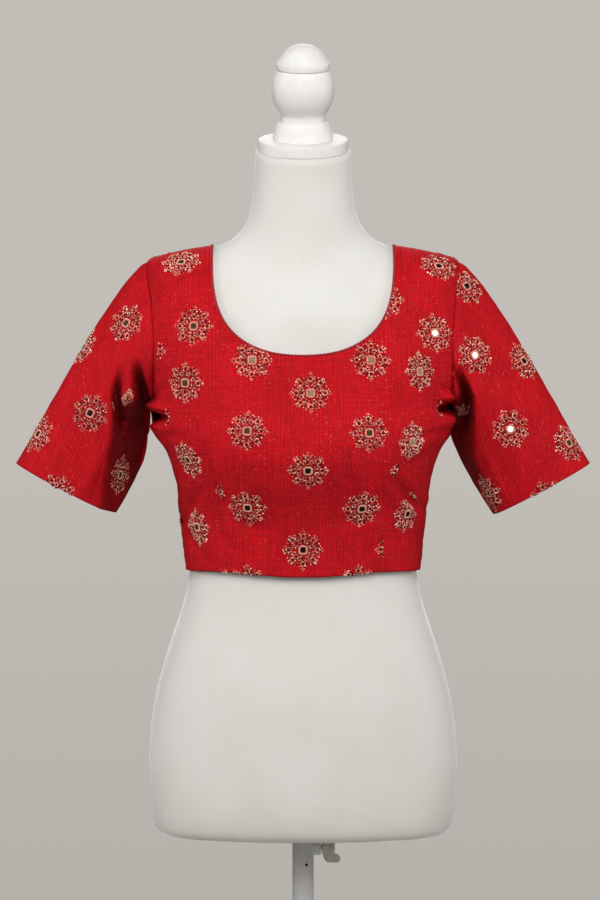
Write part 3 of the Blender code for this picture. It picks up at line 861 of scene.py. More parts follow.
RINGS = tuple(Ring(*row) for row in (
    (286, 126.5, 286, 89, 286, 81, 2.3),
    (302, 128.6, 302, 90.5, 302, 82, 2.3),
    (320, 130.2, 320, 93, 320, 83.5, 2.3),
    (343, 133, 341, 98, 342, 86, 2.3),
    (369, 134.8, 364, 107.5, 368, 90, 2.35),
    (395, 139.8, 387, 121, 394, 94.5, 2.4),
    (419, 149.3, 410, 130.5, 419, 98.5, 2.4),
    (440, 161.5, 430, 131.5, 439, 101, 2.4),
    (458, 164.5, 446, 128, 458, 103, 2.4),
    (482, 165.5, 463, 121, 480, 104, 2.4),
    (511, 178, 481, 114.5, 504, 104, 2.35),
    (541, 188.5, 499, 109.5, 526, 102.5, 2.3),
    (570, 184, 517, 105, 547, 100, 2.3),
    (597, 172.5, 532, 100.5, 566, 96.5, 2.3),
    (620, 167, 546, 96, 583, 92.5, 2.3),
    (627, 152, 556, 92, 593, 89, 2.3),
    (630.7, 138, 565, 88.5, 601, 86, 2.25),
    (633.5, 124, 574, 84.5, 609, 82.5, 2.2),
    (635.8, 110, 582, 80, 616, 79, 2.2),
    (637.7, 97, 590, 75.5, 622, 75.5, 2.2),
))

LEFT_SLEEVE = SleeveShape(
    pleats=(
        Pleat(((460, 374), (466, 387), (469.5, 398), (470, 414), (467, 434)), 3.0, 6.5, 46),
        Pleat(((455, 384), (457, 396), (457, 414)), 3.5, 3.5, -7),
        Pleat(((476, 425), (482, 450), (494, 472), (504, 500)), 5, 7, -3),
    ),
    hinge=((473, 396), (475, 427), (475, 456), (480, 470), (487, 482), (493, 497), (497, 514)),
    hinge_rows=(392, 424),
    slopes=((400, 3.4), (458, 3.3), (486, 2.2), (512, 1.5)),
    rearmost=52,
    fullness=((0, 0), (0.06, 2), (0.16, 8), (0.3, 7), (0.5, 5.5), (0.75, 3.5), (1, -2)),
)

RIGHT_SLEEVE = SleeveShape(
    pleats=(
        Pleat(((119, 374), (117, 386), (116, 396), (117, 412), (121, 432)), 3.6, 4.6, 30),
        Pleat(((138, 368), (140, 380), (142, 391), (144, 402), (146, 426)), 6.0, 4.6, 56),
        Pleat(((106, 440), (98, 462), (88, 492)), 7, 5, -3),
    ),
    hinge=((115, 396), (112, 420), (111, 440), (107, 457), (103, 482), (101, 508)),
    hinge_rows=(396, 424),
    slopes=((400, 3.2), (430, 2.9), (456, 2.7), (482, 2.1), (512, 1.5)),
    rearmost=72,
    fullness=(
        (0, 0), (0.05, -6), (0.15, -7), (0.29, -2), (0.45, 2), (0.57, 4), (0.75, 4.2), (0.9, 2.5), (1, 1),
    ),
)

TROUGHS = (
    Trough(96, 352, 34, 11, -24, 2.2),
    Trough(118, 402, 30, 9, -38, 2.0),
    Trough(52, 318, 36, 14, -8, 1.4),
)

CREASES = tuple(Crease(*row) for row in (
    (-165, 453, -143, 456, 7.0, 21), (-167, 466, -136, 463, 4.4, -5),
    (-160, 440, -112, 432, 6, 3.4), (-158, 478, -134, 502, 4.5, 2.4),
    (-132, 338, -104, 388, 6.0, 6.4), (-122, 330, -104, 300, 5.0, 2.4),
    (-138, 412, -108, 394, 6.0, 2.2), (163, 463, 143, 466, 7.5, 25),
    (165, 477, 138, 477, 4.4, -5), (160, 442, 108, 434, 6, 3.4),
    (158, 478, 132, 504, 4.5, 2.4), (126, 356, 92, 396, 6.5, 7.5),
    (132, 372, 112, 392, 5.0, 2.4), (134, 420, 104, 400, 6.0, 2.2),
    (70, 350, 14, 342, 8.0, 1.6), (-66, 344, -14, 336, 8.0, 1.4),
    (-88, 330, -60, 300, 6.0, 1.6), (88, 326, 60, 302, 6.0, 1.6),
))


@dataclass(frozen=True)
class Cut:
    """The blouse's pattern: where its neck, armholes, darts and seams lie."""

    underarm_row: int = 8
    tip_row: int = 14
    neck_half_width: float = 98.0
    neck_top: float = 637.5
    front_drop: float = 114.0
    back_drop: float = 76.0
    side_power: float = 2.3
    drop_power: float = 3.2
    front_armhole: float = 66.0
    back_armhole: float = 60.0
    armhole_roundness: float = 0.75
    seam_gap: float = 0.3
    cord_radius: float = 1.3
    cord_overlap: float = 0.55
    wall: float = 1.5
    front_dart: Pair = (81.0, 95.0)
    back_dart: Pair = (70.0, 74.0)
    hem_z: float = 286.0
    dart_head_z: float = 405.0
    hem_turning: float = 27.0

    @property
    def margin(self) -> float:
        """How far the panels stop short of the cord's centre line."""
        return self.cord_radius - self.cord_overlap


def faced(turns: Array, is_front: bool) -> Array:
    """Turns from the front middle, for turns from a panel's own middle."""
    return turns if is_front else pi - turns


@dataclass
class BodyShape:
    """The outer face of the blouse body as a function of its row and turn."""

    cut: Cut
    table: Array = field(default_factory=lambda: np.array(RINGS, float))
    droop_power: float = 1.7

    def ring(self, rows: Array) -> Ring:
        """The ring sizes at fractional rows of the table."""
        return Ring(*np.moveaxis(catmull_rom(self.table, np.asarray(rows, float)), -1, 0))

    def point(self, rows: Array, turns: Array) -> Array:
        """Points of the outer face, in millimetres above the form's base.

        Args:
            rows: Fractional rows of the ring table.
            turns: Angles from the front middle towards +X.

        Returns:
            One point for each row and turn.
        """
        rows, turns = np.broadcast_arrays(np.asarray(rows, float), np.asarray(turns, float))
        ring = self.ring(rows)
        across, along = np.sin(turns), np.cos(turns)
        power = ring.squareness
        reach = (np.abs(across) ** power + np.abs(along) ** power) ** (-1 / power)
        middle_z = np.where(along > 0, ring.front_z, ring.back_z)
        depth = np.where(along > 0, ring.front_depth, ring.back_depth)
        x = ring.half_width * reach * across
        y = -depth * reach * along
        z = ring.side_z + (middle_z - ring.side_z) * (reach * np.abs(along)) ** self.droop_power
        y = y + self.trough_depth(x, z) * np.maximum(along, 0.0)
        return np.stack([x, y, z], -1)

    @staticmethod
    def trough_depth(x: Array, z: Array) -> Array:
        """How far the soft troughs press in at each point.

        Args:
            x: Distances from the middle.
            z: Heights.

        Returns:
            Depths in millimetres.
        """
        total = np.zeros_like(x)
        for trough in TROUGHS:
            lean = radians(trough.lean)
            dx, dz = np.abs(x) - trough.x, z - trough.z
            along = (dx * sin(lean) + dz * cos(lean)) / trough.half_length
            across = (dx * cos(lean) - dz * sin(lean)) / trough.half_width
            total += trough.depth * np.exp(-(along**2) - across**2)
        return total

    def normal(self, rows: Array, turns: Array) -> Array:
        """The outward direction at each row and turn.

        Args:
            rows: Fractional rows.
            turns: Angles.

        Returns:
            One direction for each.
        """
        step = 0.01
        along = self.point(rows + step, turns) - self.point(rows - step, turns)
        across = self.point(rows, turns + step) - self.point(rows, turns - step)
        return unit(np.cross(across, along))

    def patch(self, rows: Array, turns: Array) -> tuple[Array, Array]:
        """Points and outward directions for each row's own turns."""
        rows = np.broadcast_to(rows[:, None], turns.shape)
        return self.point(rows, turns), self.normal(rows, turns)

    def side_point(self, rows: Array, turns: Array, is_front: bool) -> Array:
        """Points by their turn from the front or back middle."""
        return self.point(rows, faced(turns, is_front))

    def neck_half_width(self, z: Array, is_front: bool) -> Array:
        """Half the neck opening's width, out to the panels' edge.

        Args:
            z: Heights.
            is_front: Front or back.

        Returns:
            Half widths in millimetres.
        """
        cut = self.cut
        fall = np.clip((cut.neck_top - z) / (cut.neck_top - self.neck_bottom(is_front)), 0.0, 1.0)
        share = 1 - fall**cut.drop_power
        return (cut.neck_half_width + cut.margin) * share ** (1 / cut.side_power)

    def neck_turn(self, rows: Array, is_front: bool) -> Array:
        """Where each row starts: in the middle, or on the neckline's edge.

        Args:
            rows: Fractional rows.
            is_front: Front or back.

        Returns:
            One angle for each row.
        """

        def is_inside(turns: Array) -> Array:
            """Whether each point lies inside the neck opening."""
            points = self.side_point(rows, turns, is_front)
            return points[..., 0] - self.neck_half_width(points[..., 2], is_front) < 0

        low = np.zeros_like(rows)
        is_whole = ~is_inside(low) | (rows <= self.cut.underarm_row)
        return np.where(is_whole, 0.0, halved(low, np.full_like(rows, pi / 2), is_inside))

    def edge_turn(self, rows: Array, is_front: bool) -> Array:
        """Where each row ends: on the side seam, armhole or shoulder seam.

        Args:
            rows: Fractional rows.
            is_front: Front or back.

        Returns:
            One angle for each row.
        """
        cut, ring = self.cut, self.ring(rows)
        depth = ring.front_depth if is_front else ring.back_depth
        share = np.clip((rows - cut.underarm_row) / (cut.tip_row - cut.underarm_row), 0.0, 1.0)
        deepest = cut.front_armhole if is_front else cut.back_armhole
        scoop = deepest * np.maximum(np.sin(pi * share), 0.0) ** cut.armhole_roundness
        inset = (np.maximum(scoop, cut.seam_gap / 2) / depth) ** ring.squareness
        return np.arctan(((1 - inset) / inset) ** (1 / ring.squareness))

    def neck_bottom(self, is_front: bool) -> float:
        """The height of the panel's neck edge at its middle."""
        drop = self.cut.front_drop if is_front else self.cut.back_drop
        return self.cut.neck_top - drop - self.cut.margin

    def neck_rows(self, is_front: bool) -> Pair:
        """The rows at the neckline's middle and on the shoulder seam.

        Args:
            is_front: Front or back.

        Returns:
            Both rows.
        """
        cut, z = self.cut, self.neck_bottom(is_front)
        low = halved(cut.underarm_row, cut.tip_row, lambda row: self.side_point(row, 0.0, is_front)[2] < z)
        wide = cut.neck_half_width + cut.margin
        high = halved(cut.tip_row, len(self.table) - 1, lambda row: self.ring(row).half_width > wide)
        return float(low), float(high)

    def panel_rows(self, is_front: bool, spacing: float) -> Array:
        """Rows for a fine panel, packed where the neck edge runs flat.

        Args:
            is_front: Whether the panel is the front.
            spacing: About how far apart the rows lie.

        Returns:
            Fractional rows, from the hem up.
        """
        height = 330
        bottom, top = self.neck_rows(is_front)
        plain = np.linspace(0.0, bottom, int(height / spacing * bottom / top))
        fine = bottom + (top - bottom) * np.linspace(0, 1, 2000) ** 2
        run = run_along(self.side_point(fine, self.neck_turn(fine, is_front), is_front))
        packed = np.interp(np.linspace(0, run[-1], int(run[-1] / spacing) + 1), run, fine)
        return np.concatenate([plain, packed[1:]])


@dataclass
class Sheet:
    """A grid of cloth.

    Each point has its place, outward direction, across, along and dart distances, distance
    from the nearest seam and the hem, and painted shade from nought to one by how deep it lies in a fold.
    """

    points: Array
    normals: Array
    weave: Array
    edge: Array
    rim: Array
    # painted shade of the folds
    fold_shade: Array | None = None

    def __post_init__(self) -> None:
        """Starts a sheet without painted fold shade."""
        if self.fold_shade is None:
            self.fold_shade = np.zeros_like(self.rim)

    def turned(self, side: Array) -> Sheet:
        """The sheet with its columns in the other order, on the side given."""
        grids = (self.points * side, self.normals * side, self.weave * side, self.edge, self.rim, self.fold_shade)
        return Sheet(*(grid[:, ::-1] for grid in grids))

    def mirrored(self) -> Sheet:
        """The same sheet on the other side, still facing out."""
        return self.turned(MIRROR)


@dataclass
class Wall:
    """Makes walls of cloth that rest on the form."""

    base: float
    form: BVHTree
    thickness: float
    clearance: float = 0.4
    reach: float = 0.012
    rounding: float = 0.42

    def settle(self, sheet: Sheet) -> None:
        """Lifts a sheet where its inner face would come too close to the form.

        Args:
            sheet: The sheet.
        """
        points, normals = sheet.points.reshape(-1, 3), sheet.normals.reshape(-1, 3)
        for index, place in enumerate(in_metres(points - normals * self.thickness, self.base)):
            place = Vector(place)
            near, outward, _, distance = self.form.find_nearest(place, self.reach)
            if near is None:
                continue
            gap = distance / MM * (1 if (place - near).dot(outward) > 0 else -1)
            if gap < self.clearance:
                points[index] = points[index] + normals[index] * (self.clearance - gap)
        sheet.points = points.reshape(sheet.points.shape)

    def mesh(self, name: str, sheets: Sequence[Sheet], is_tube: bool = False) -> Mesh:
        """One mesh over some sheets, joined where they meet.

        Args:
            name: The mesh's name.
            sheets: The sheets.
            is_tube: Whether each row's ends meet.

        Returns:
            The outer face, with the weave, the seam and hem distances and the painted fold shade on its
            corners.
        """
        shape = bmesh.new()
        weave_layer = shape.loops.layers.float_vector.new("weave")
        edges_layer = shape.loops.layers.float_vector.new("edges")
        for sheet in sheets:
            rows = [[shape.verts.new(point) for point in row] for row in in_metres(sheet.points, self.base)]
            weave = sheet.weave * MM
            edges = np.stack([sheet.edge, sheet.rim, sheet.fold_shade], -1) * MM
            for j in range(len(rows) - 1):
                for i in range(len(rows[0]) - 1):
                    spots = ((j, i), (j, i + 1), (j + 1, i + 1), (j + 1, i))
                    face = shape.faces.new([rows[a][b] for a, b in spots])
                    for loop, spot in zip(face.loops, spots):
                        loop[weave_layer] = weave[spot]
                        loop[edges_layer] = edges[spot]
        bmesh.ops.remove_doubles(shape, verts=shape.verts, dist=0.02 * MM)
        if is_tube or len(sheets) > 1:
            bmesh.ops.dissolve_degenerate(shape, edges=shape.edges, dist=0.005 * MM)
        return finished_mesh(shape, name)

    def thicken(self, made: Object, thickness: float) -> None:
        """Gives a piece its wall in millimetres, inward, with rounded edges."""
        modify(made, "SOLIDIFY", thickness=thickness * MM, offset=-1.0)
        soften(made, self.rounding, angle=60)


def ripple(points: Array, scale: Sequence[float], seed: float) -> Array:
    """Smooth uneven waves over points, from about minus one to one.

    Args:
        points: Where they are wanted.
        scale: Waves to the millimetre, by axis.
        seed: Which waves.

    Returns:
        One value for each point.
    """
    flat = points.reshape(-1, 3) * np.array(scale)
    offset = Vector((seed, 2.7 * seed, 0.0))
    values = [noise.noise(Vector(p) + offset) for p in flat]
    return np.array(values).reshape(points.shape[:-1])


def crease_depth(points: Array) -> Array:
    """How far the drag lines press in, each between two low ridges.

    Args:
        points: Points in millimetres.

    Returns:
        Depths in millimetres.
    """
    total = np.zeros(points.shape[:-1])
    for crease in CREASES:
        start = np.array([crease.x0, crease.z0])
        run = np.array([crease.x1, crease.z1]) - start
        length = np.linalg.norm(run)
        offset = points[..., (0, 2)] - start
        along = offset @ run / length**2
        across = (offset[..., 0] * run[1] - offset[..., 1] * run[0]) / length / crease.width
        fade = rise(along, -0.25, 0.1) * (1 - rise(along, 0.35, 1.1))
        total += crease.depth * fade * (bell(across, 1) - 0.45 * bell(across, 2.2))
    return total * (points[..., 1] < 0)


@dataclass
class Blouse:
    """The choli: its panels, sleeves, placket, neck cord, stitches and butis."""

    frame: dict
    studio: Studio
    cut: Cut = Cut()
    back_seeds: Pair = (21.0, 27.0)
    front_seed: float = 3.0
    panel_width: float = 225.0
    hem_rise: float = 4.2
    placket_half_width: float = 12.0
    placket_length: float = 260.0
    placket_wall: float = 1.2
    placket_lift: float = 0.45
    cord_radius: float = 0.92
    scallop: float = 3.8
    scallop_rise: float = 0.42
    scallop_step: float = 0.64
    armhole_cord: float = 0.9

    def __post_init__(self) -> None:
        """Measures the frame."""
        self.shape = BodyShape(self.cut)
        self.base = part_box("form_torso")[0].z
        self.wall = Wall(self.base, tree_of(self.frame["nodes"]["form_torso"]), self.cut.wall)
        self.spacing = 2.4
        self.sheets: dict[str, list[Sheet]] = {}

    def build(self) -> None:
        """Makes every piece of the blouse."""
        self.front()
        self.backs()
        self.placket()
        self.sleeves()
        self.armhole_cords()
        self.neck_cord()
        Stitching(self).build()
        Embroidery(self).build()

    def sew(self, name: str, sheets: list[Sheet], node: str,
            held: str = "draped", thickness: float | None = None) -> None:
        """Makes a piece of cloth and keeps its sheets.

        Args:
            name: The piece's name.
            sheets: Its sheets.
            node: The node it stands for.
            held: How it is held.
            thickness: Its wall in millimetres.
        """
        mesh = self.wall.mesh(name, sheets, is_tube=held == "hung")
        made = piece(mesh, [Finish.CLOTH], "form", [node])
        self.wall.thicken(made, thickness or self.cut.wall)
        self.sheets[name] = sheets

    # -- body panels

    def half(self, is_front: bool, gap: float = 0.0) -> Sheet:
        """The half of the front or back on +X.

        Args:
            is_front: Front or back.
            gap: How far the half stops short of the middle.

        Returns:
            The sheet before it is folded.
        """
        rows = self.shape.panel_rows(is_front, self.spacing)
        start = self.shape.neck_turn(rows, is_front)
        end = self.shape.edge_turn(rows, is_front)
        inset = np.arcsin(gap / self.shape.ring(rows).half_width)
        start = np.minimum(np.maximum(start, inset), end)
        share = np.linspace(0, 1, int(self.panel_width / self.spacing) + 1)[None, :]
        turns = faced(start[:, None] + (end - start)[:, None] * share, is_front)
        points, normals = self.shape.patch(rows, turns)
        weave = self.weave_of(rows, start, points, normals, is_front)
        edge = np.linalg.norm(points - points[:, -1:, :], axis=-1)
        rim = np.linalg.norm(points - points[:1], axis=-1)
        sheet = Sheet(points, normals, weave, edge, rim)
        return sheet if is_front else sheet.turned(np.ones(3))

    def weave_of(self, rows: Array, start: Array, points: Array, normals: Array, is_front: bool) -> Array:
        """The cloth's across, along and dart distances.

        Args:
            rows: The sheet's rows.
            start: The turn at which each row starts.
            points: The sheet's points.
            normals: Their outward directions.
            is_front: Front or back.

        Returns:
            The three distances in millimetres.
        """
        lead_steps = 24
        lead = np.linspace(0, 1, lead_steps + 1)[None, :] * start[:, None]
        first, first_normals = self.shape.patch(rows, faced(lead, is_front))
        path = np.concatenate([first, points[:, 1:]], axis=1)
        facing = np.concatenate([first_normals, normals[:, 1:]], axis=1)
        way = 1 if is_front else -1
        over = facing[..., 2:3] ** 2
        up = UP * (1 - over) + DEPTH * way * over
        up = unit(up - facing * np.sum(up * facing, -1, keepdims=True))
        side = np.cross(up, facing) * way
        steps = np.diff(path, axis=1)
        across = np.cumsum(np.sum(steps * side[:, 1:], -1), axis=1)[:, lead_steps - 1 :]
        along = np.cumsum(np.sum(steps * up[:, 1:], -1), axis=1)[:, lead_steps - 1 :] + path[:, :1, 2]
        return np.stack([across, along, self.dart_distance(points, is_front)], -1)

    def dart_distance(self, points: Array, is_front: bool) -> Array:
        """How far each point lies from the dart's line; far away above its head.

        Args:
            points: Points in millimetres.
            is_front: Front or back.

        Returns:
            Signed distances.
        """
        cut, z = self.cut, points[..., 2]
        foot, head = cut.front_dart if is_front else cut.back_dart
        lift = (z - cut.hem_z) / (cut.dart_head_z - cut.hem_z)
        beyond = np.maximum(z - cut.dart_head_z, 0.0)
        offset = np.abs(points[..., 0]) - (foot + (head - foot) * lift)
        return offset + np.where(offset < 0, -beyond, beyond)

    def fold(self, sheet: Sheet, seed: float) -> None:
        """Works unevenness into a body sheet and settles it on the form.

        Args:
            sheet: The sheet.
            seed: Where the waves are read.
        """
        points, height = sheet.points, sheet.points[..., 2]
        above_hem = height - self.cut.hem_z
        near_waist = 1 - rise(height, 300, 420)
        near_neck = 1 - rise(height, 560, 625)
        waves = 0.75 * ripple(points, (1 / 34, 1 / 34, 1 / 60), seed)
        waves += 0.35 * ripple(points, (1 / 13, 1 / 13, 1 / 22), seed + 9)
        waves += 0.9 * near_waist * ripple(points, (1 / 22, 1 / 22, 1 / 90), seed + 4)
        seam = -0.55 * bell(sheet.edge, 2.6)
        wander = 2 * ripple(points, (0, 0, 1 / 25), seed)
        pucker = 0.38 * np.sin(height / 1.9 + wander) * np.exp(-sheet.edge / 7)
        turning = 0.3 * (1 - rise(above_hem, self.cut.hem_turning - 1.5, self.cut.hem_turning + 1))
        flutter = 0.7 * bell(above_hem, 5) * ripple(points, (1 / 30, 1 / 30, 0), seed + 2)
        dart = -0.45 * bell(sheet.weave[..., 2], 3.4)
        pressed = crease_depth(points)
        # painted shade: the cloth darkens where a drag line presses in deeper than 3 mm
        sheet.fold_shade = np.clip((pressed - 3) / 12, 0, 1)
        lift = waves + seam + pucker + turning + flutter + dart - pressed
        lift = lift * (0.35 + 0.65 * near_neck)
        sheet.points = points + sheet.normals * lift[..., None]
        self.wall.settle(sheet)

    def raise_hem(self, sheet: Sheet) -> None:
        """Curves the front hem up from its middle.

        Args:
            sheet: The front's sheet.
        """
        x, above_hem = np.abs(sheet.points[..., 0]), sheet.points[..., 2] - self.cut.hem_z
        share = rise(x, 8, 84) * (1 - 0.45 * rise(x, 96, 126)) * (1 - rise(above_hem, 0, 70))
        sheet.points = sheet.points + UP * (self.hem_rise * share)[..., None]

    def front(self) -> None:
        """The one-piece front with its darts."""
        right = self.half(True)
        self.raise_hem(right)
        sheets = [right, right.mirrored()]
        for sheet in sheets:
            self.fold(sheet, self.front_seed)
        self.sew("choli_front", sheets, "blouse_front")

    def backs(self) -> None:
        """The two back panels."""
        left = self.half(False, self.cut.seam_gap / 2)
        for (name, _), sheet, seed in zip(SIDES, (left, left.mirrored()), self.back_seeds):
            self.fold(sheet, seed)
            self.sew(f"choli_back_{name}", [sheet], f"blouse_back_{name}")

    def placket(self) -> None:
        """The closing band down the centre back."""
        half_width, wall = self.placket_half_width, self.placket_wall
        rows = np.linspace(0.0, self.shape.neck_rows(False)[0], int(self.placket_length / self.spacing))
        half_turn = np.arcsin(half_width / self.shape.ring(rows).half_width)
        share = np.linspace(-1, 1, 15)[None, :]
        points, normals = self.shape.patch(rows, pi + half_turn[:, None] * share)
        shape = points.shape[:-1]
        edge_round = 0.35 * (np.abs(share) ** 8)
        swell = 0.25 * ripple(points, (1 / 20, 1 / 20, 1 / 30), 5.0) + 0.95
        points = points + normals * (self.placket_lift + wall + swell - edge_round)[..., None]
        across = np.broadcast_to(share * half_width, shape) + 1.2
        weave = np.stack([across, points[..., 2], np.full(shape, FAR)], -1)
        rim = np.minimum(np.linalg.norm(points - points[:1], axis=-1), half_width * (1 - np.abs(share)))
        sheet = Sheet(points, normals, weave, np.full(shape, FAR), rim)
        self.sew("choli_placket", [sheet], "back_placket",
                 thickness=wall)

    # -- sleeves and cords

    def sleeves(self) -> None:
        """Both set-in sleeves."""
        for (name, side), hang in zip(SIDES, (LEFT_SLEEVE, RIGHT_SLEEVE)):
            sheet = Sleeve(self.shape, self.studio, hang, side, self.spacing).sheet()
            sheet = sheet if side > 0 else sheet.mirrored()
            self.sew(f"choli_sleeve_{name}", [sheet], f"sleeve_{name}",
                     held="hung")

    def armhole_cords(self) -> None:
        """The seam cord in each armhole."""
        spacing, sink = 1.2, 1.15
        start, _ = Sleeve(self.shape, self.studio, LEFT_SLEEVE, 1, spacing).armhole()
        out = unit((start - start.mean(axis=0)) * (DEPTH + UP))
        centre = start - out * sink
        side = np.cross(unit(np.gradient(centre, axis=0)), out)
        rings = rings_round(centre, self.armhole_cord * out, self.armhole_cord * side)
        for name, way in SIDES:
            mesh = ringed_mesh(f"choli_armhole_{name}", in_metres(rings * (way, 1, 1), self.base))
            piece(mesh, [Finish.SEAM], "form")

    def neck_path(self, spacing: float, lift: float = 0.0, outset: float = 0.0) -> Array:
        """The neckline from the centre back round the front and back again.

        Args:
            spacing: How far apart its points lie.
            lift: How far they stand above the cloth.
            outset: How far they lie outside the cord's centre line.

        Returns:
            The points in millimetres.
        """
        halves = []
        for is_front in (False, True):
            bottom, top = self.shape.neck_rows(is_front)
            rows = bottom + (top - bottom) * np.linspace(0, 1, 400) ** 2.2
            turns = np.minimum(self.shape.neck_turn(rows, is_front), pi / 2)
            turns[0] = 0.0
            turns = faced(turns, is_front)
            points, normals = self.shape.point(rows, turns), self.shape.normal(rows, turns)
            away = np.cross(normals, unit(np.gradient(points, axis=0))) * (1 if is_front else -1)
            away[0] = UP
            halves.append(points + away * (self.cut.margin - outset) + normals * lift)
        half = np.concatenate([halves[0], halves[1][::-1][1:]])
        return spaced(np.concatenate([half, half[::-1][1:] * MIRROR]), spacing)

    def neck_cord(self) -> None:
        """The neck edge's fine cord, with its row of tiny scallops."""
        route = self.neck_path(self.scallop_step, lift=0.15)
        phase = np.abs(np.sin(pi * np.arange(len(route)) * self.scallop_step / self.scallop))[:, None]
        radius = self.cord_radius + self.scallop_rise * phase**0.7
        way = unit(np.gradient(route, axis=0))
        inward = route.mean(axis=0) - route
        side = unit(inward - way * np.sum(inward * way, -1, keepdims=True))
        rings = rings_round(route + side * 0.3 * phase, radius * side, radius * np.cross(side, way), 10)
        mesh = ringed_mesh("choli_neck_cord", in_metres(rings[2:-2], self.base))
        piece(mesh, [Finish.CORD], "form", ["neck_piping"], 80)


@dataclass
class Sleeve:
    """The sleeve on +X, swept from its armhole seam to a slanting cuff."""

    shape: BodyShape
    studio: Studio
    hang: SleeveShape
    side: int
    spacing: float
    length: float = 268.0
    cuff_outer: Pair = (310.0, 403.0)
    cuff_inner: Pair = (204.0, 347.0)
    cuff_half_depth: float = 39.0
    forward: float = -3.0
    head_run: Triple = (96.0, 0.0, -11.0)
    underarm_run: Triple = (-7.0, 0.0, -90.0)
    spread: float = 14.0
    cuff_head_run: float = 170.0
    cuff_run: float = 150.0
    cuff_turning: float = 22.0
    hinge_softness: float = 2.0
    hinge_step: float = 7.0

    def armhole(self) -> tuple[Array, Array]:
        """The armhole seam and each point's turn round it.

        Returns:
            The points and their turns; nought is the tip.
        """
        cut = self.shape.cut
        rows = np.linspace(cut.underarm_row, cut.tip_row, 700)
        arcs = []
        for is_front in (True, False):
            path = self.shape.side_point(rows, self.shape.edge_turn(rows, is_front), is_front)
            for end in (0, -1):
                path[end] = self.shape.side_point(rows[end], pi / 2, True)
            arcs.append(spaced(path[::-1], self.spacing, 1))
        front, back = arcs
        front_turns, back_turns = (pi * np.linspace(0, 1, len(arc)) for arc in arcs)
        points = np.concatenate([back[::-1], front[1:]])
        return points, np.concatenate([-back_turns[::-1], front_turns[1:]])

    def surface(self, start: Array, turns: Array, t: Array) -> Array:
        """Points of the sleeve, on curves from the armhole to the cuff.

        Args:
            start: The armhole's points.
            turns: Their turns.
            t: Places from nought at the armhole to one at the cuff.

        Returns:
            One point for each of t and each turn.
        """
        outer, inner = (np.array([x, 0, z]) for x, z in (self.cuff_outer, self.cuff_inner))
        middle, reach = (outer + inner) / 2, (outer - inner) / 2
        cosine, sine = np.cos(turns)[..., None], np.sin(turns)[..., None]
        cuff = middle + reach * cosine
        cuff = cuff + DEPTH * (self.forward - self.cuff_half_depth * sine)
        top = (1 + cosine) / 2
        leaving = np.array(self.head_run) * top + np.array(self.underarm_run) * (1 - top)
        leaving = leaving - DEPTH * self.spread * sine
        axis = unit(np.array([reach[2], 0, -reach[0]]))
        arriving = axis * (self.cuff_run * (1 - top) + self.cuff_head_run * top)
        return (
            start * (2 * t**3 - 3 * t**2 + 1)
            + leaving * (t**3 - 2 * t**2 + t)
            + cuff * (3 * t**2 - 2 * t**3)
            + arriving * (t**3 - t**2)
        )

    def sheet(self) -> Sheet:
        """The sleeve's sheet, folded.

        Returns:
            The sheet.
        """
        start, turns = self.armhole()
        t = (np.linspace(0, 1, int(self.length / self.spacing) + 1) ** 1.1)[:, None, None]
        points = self.surface(start[None] + ACROSS * 0.05, turns[None], t)
        flow = t[..., 0]
        fullness = np.interp(flow, *zip(*self.hang.fullness))
        inner = bell(180 - np.abs(np.degrees(turns)), 62)
        points = points - ACROSS * (fullness * inner)[..., None]
        around, down = run_along(points, 1), run_along(points)
        tip = int(np.argmin(np.abs(turns)))
        around = around - around[:, tip : tip + 1]
        weave = np.stack([around, -down, np.full(around.shape, FAR)], -1)
        sheet = Sheet(points, self.normals(points), weave, down, down[-1:] - down)
        self.fold(sheet, turns, flow)
        return sheet

    @staticmethod
    def normals(points: Array) -> Array:
        """The outward direction at each point of a tube's grid.

        Args:
            points: Rows of points round the tube.

        Returns:
            One direction for each.
        """
        closed = np.concatenate([points[:, -2:-1], points, points[:, 1:2]], axis=1)
        normals = unit(np.cross(np.gradient(points, axis=0), closed[:, 2:] - closed[:, :-2]))
        outward = points - points.mean(axis=1, keepdims=True)
        return normals * np.sign(np.sum(normals * outward, -1, keepdims=True).mean())

    def fold(self, sheet: Sheet, turns: Array, flow: Array) -> None:
        """Works unevenness and the deep inner fold into the sleeve.

        Args:
            sheet: The sleeve's sheet.
            turns: Each column's turn.
            flow: Each row's place from the armhole to the cuff.
        """
        points, edge = sheet.points, sheet.edge
        degrees = np.degrees(turns)[None]
        limit = rise(edge, 0.0, 5.0)
        waves = 0.9 * ripple(points, (1 / 45, 1 / 30, 1 / 45), 51.0)
        waves += 0.35 * ripple(points, (1 / 14, 1 / 14, 1 / 14), 57.0)
        seam = -0.55 * bell(edge, 2.6) + 0.4 * bell(edge - 9, 6)
        pucker = 0.45 * np.sin(degrees / 3.1) * np.exp(-edge / 9) * (1 - np.exp(-edge / 2))
        cuff = 0.35 * (1 - rise(sheet.rim, self.cuff_turning - 1.5, self.cuff_turning + 1.5))
        points = points + sheet.normals * (waves * limit + seam + pucker + cuff)[..., None]
        push = self.pushed_back(points, degrees)
        # painted shade down the turned-back inner side and the pleats, lighter towards the cuff
        shade = 1 - 0.3 * rise(flow, 0.55, 1.0)
        sheet.fold_shade = np.clip(push / 18, 0, 1) * limit * rise(degrees, 20, 60) * shade
        tuck = 3.2 * np.sin(pi * flow) ** 0.7 * bell(degrees, 65)
        sheet.points = points + DEPTH * (push * limit)[..., None] - sheet.normals * tuck[..., None]

    def pushed_back(self, points: Array, degrees: Array) -> Array:
        """How far the pleats and the turned inner side lie behind.

        Args:
            points: The sleeve's points, on +X.
            degrees: Each column's turn.

        Returns:
            Distances in millimetres.
        """
        hang = self.hang
        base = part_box("form_torso")[0].z
        columns, rows = self.studio.place(in_metres(points * (self.side, 1, 1), base))

        def inward(line: Sequence[Pair]) -> Array:
            """How many pixels each point lies nearer to the body than a line."""
            line_columns, line_rows = zip(*line)
            return (np.interp(rows, line_rows, line_columns) - columns) * self.side

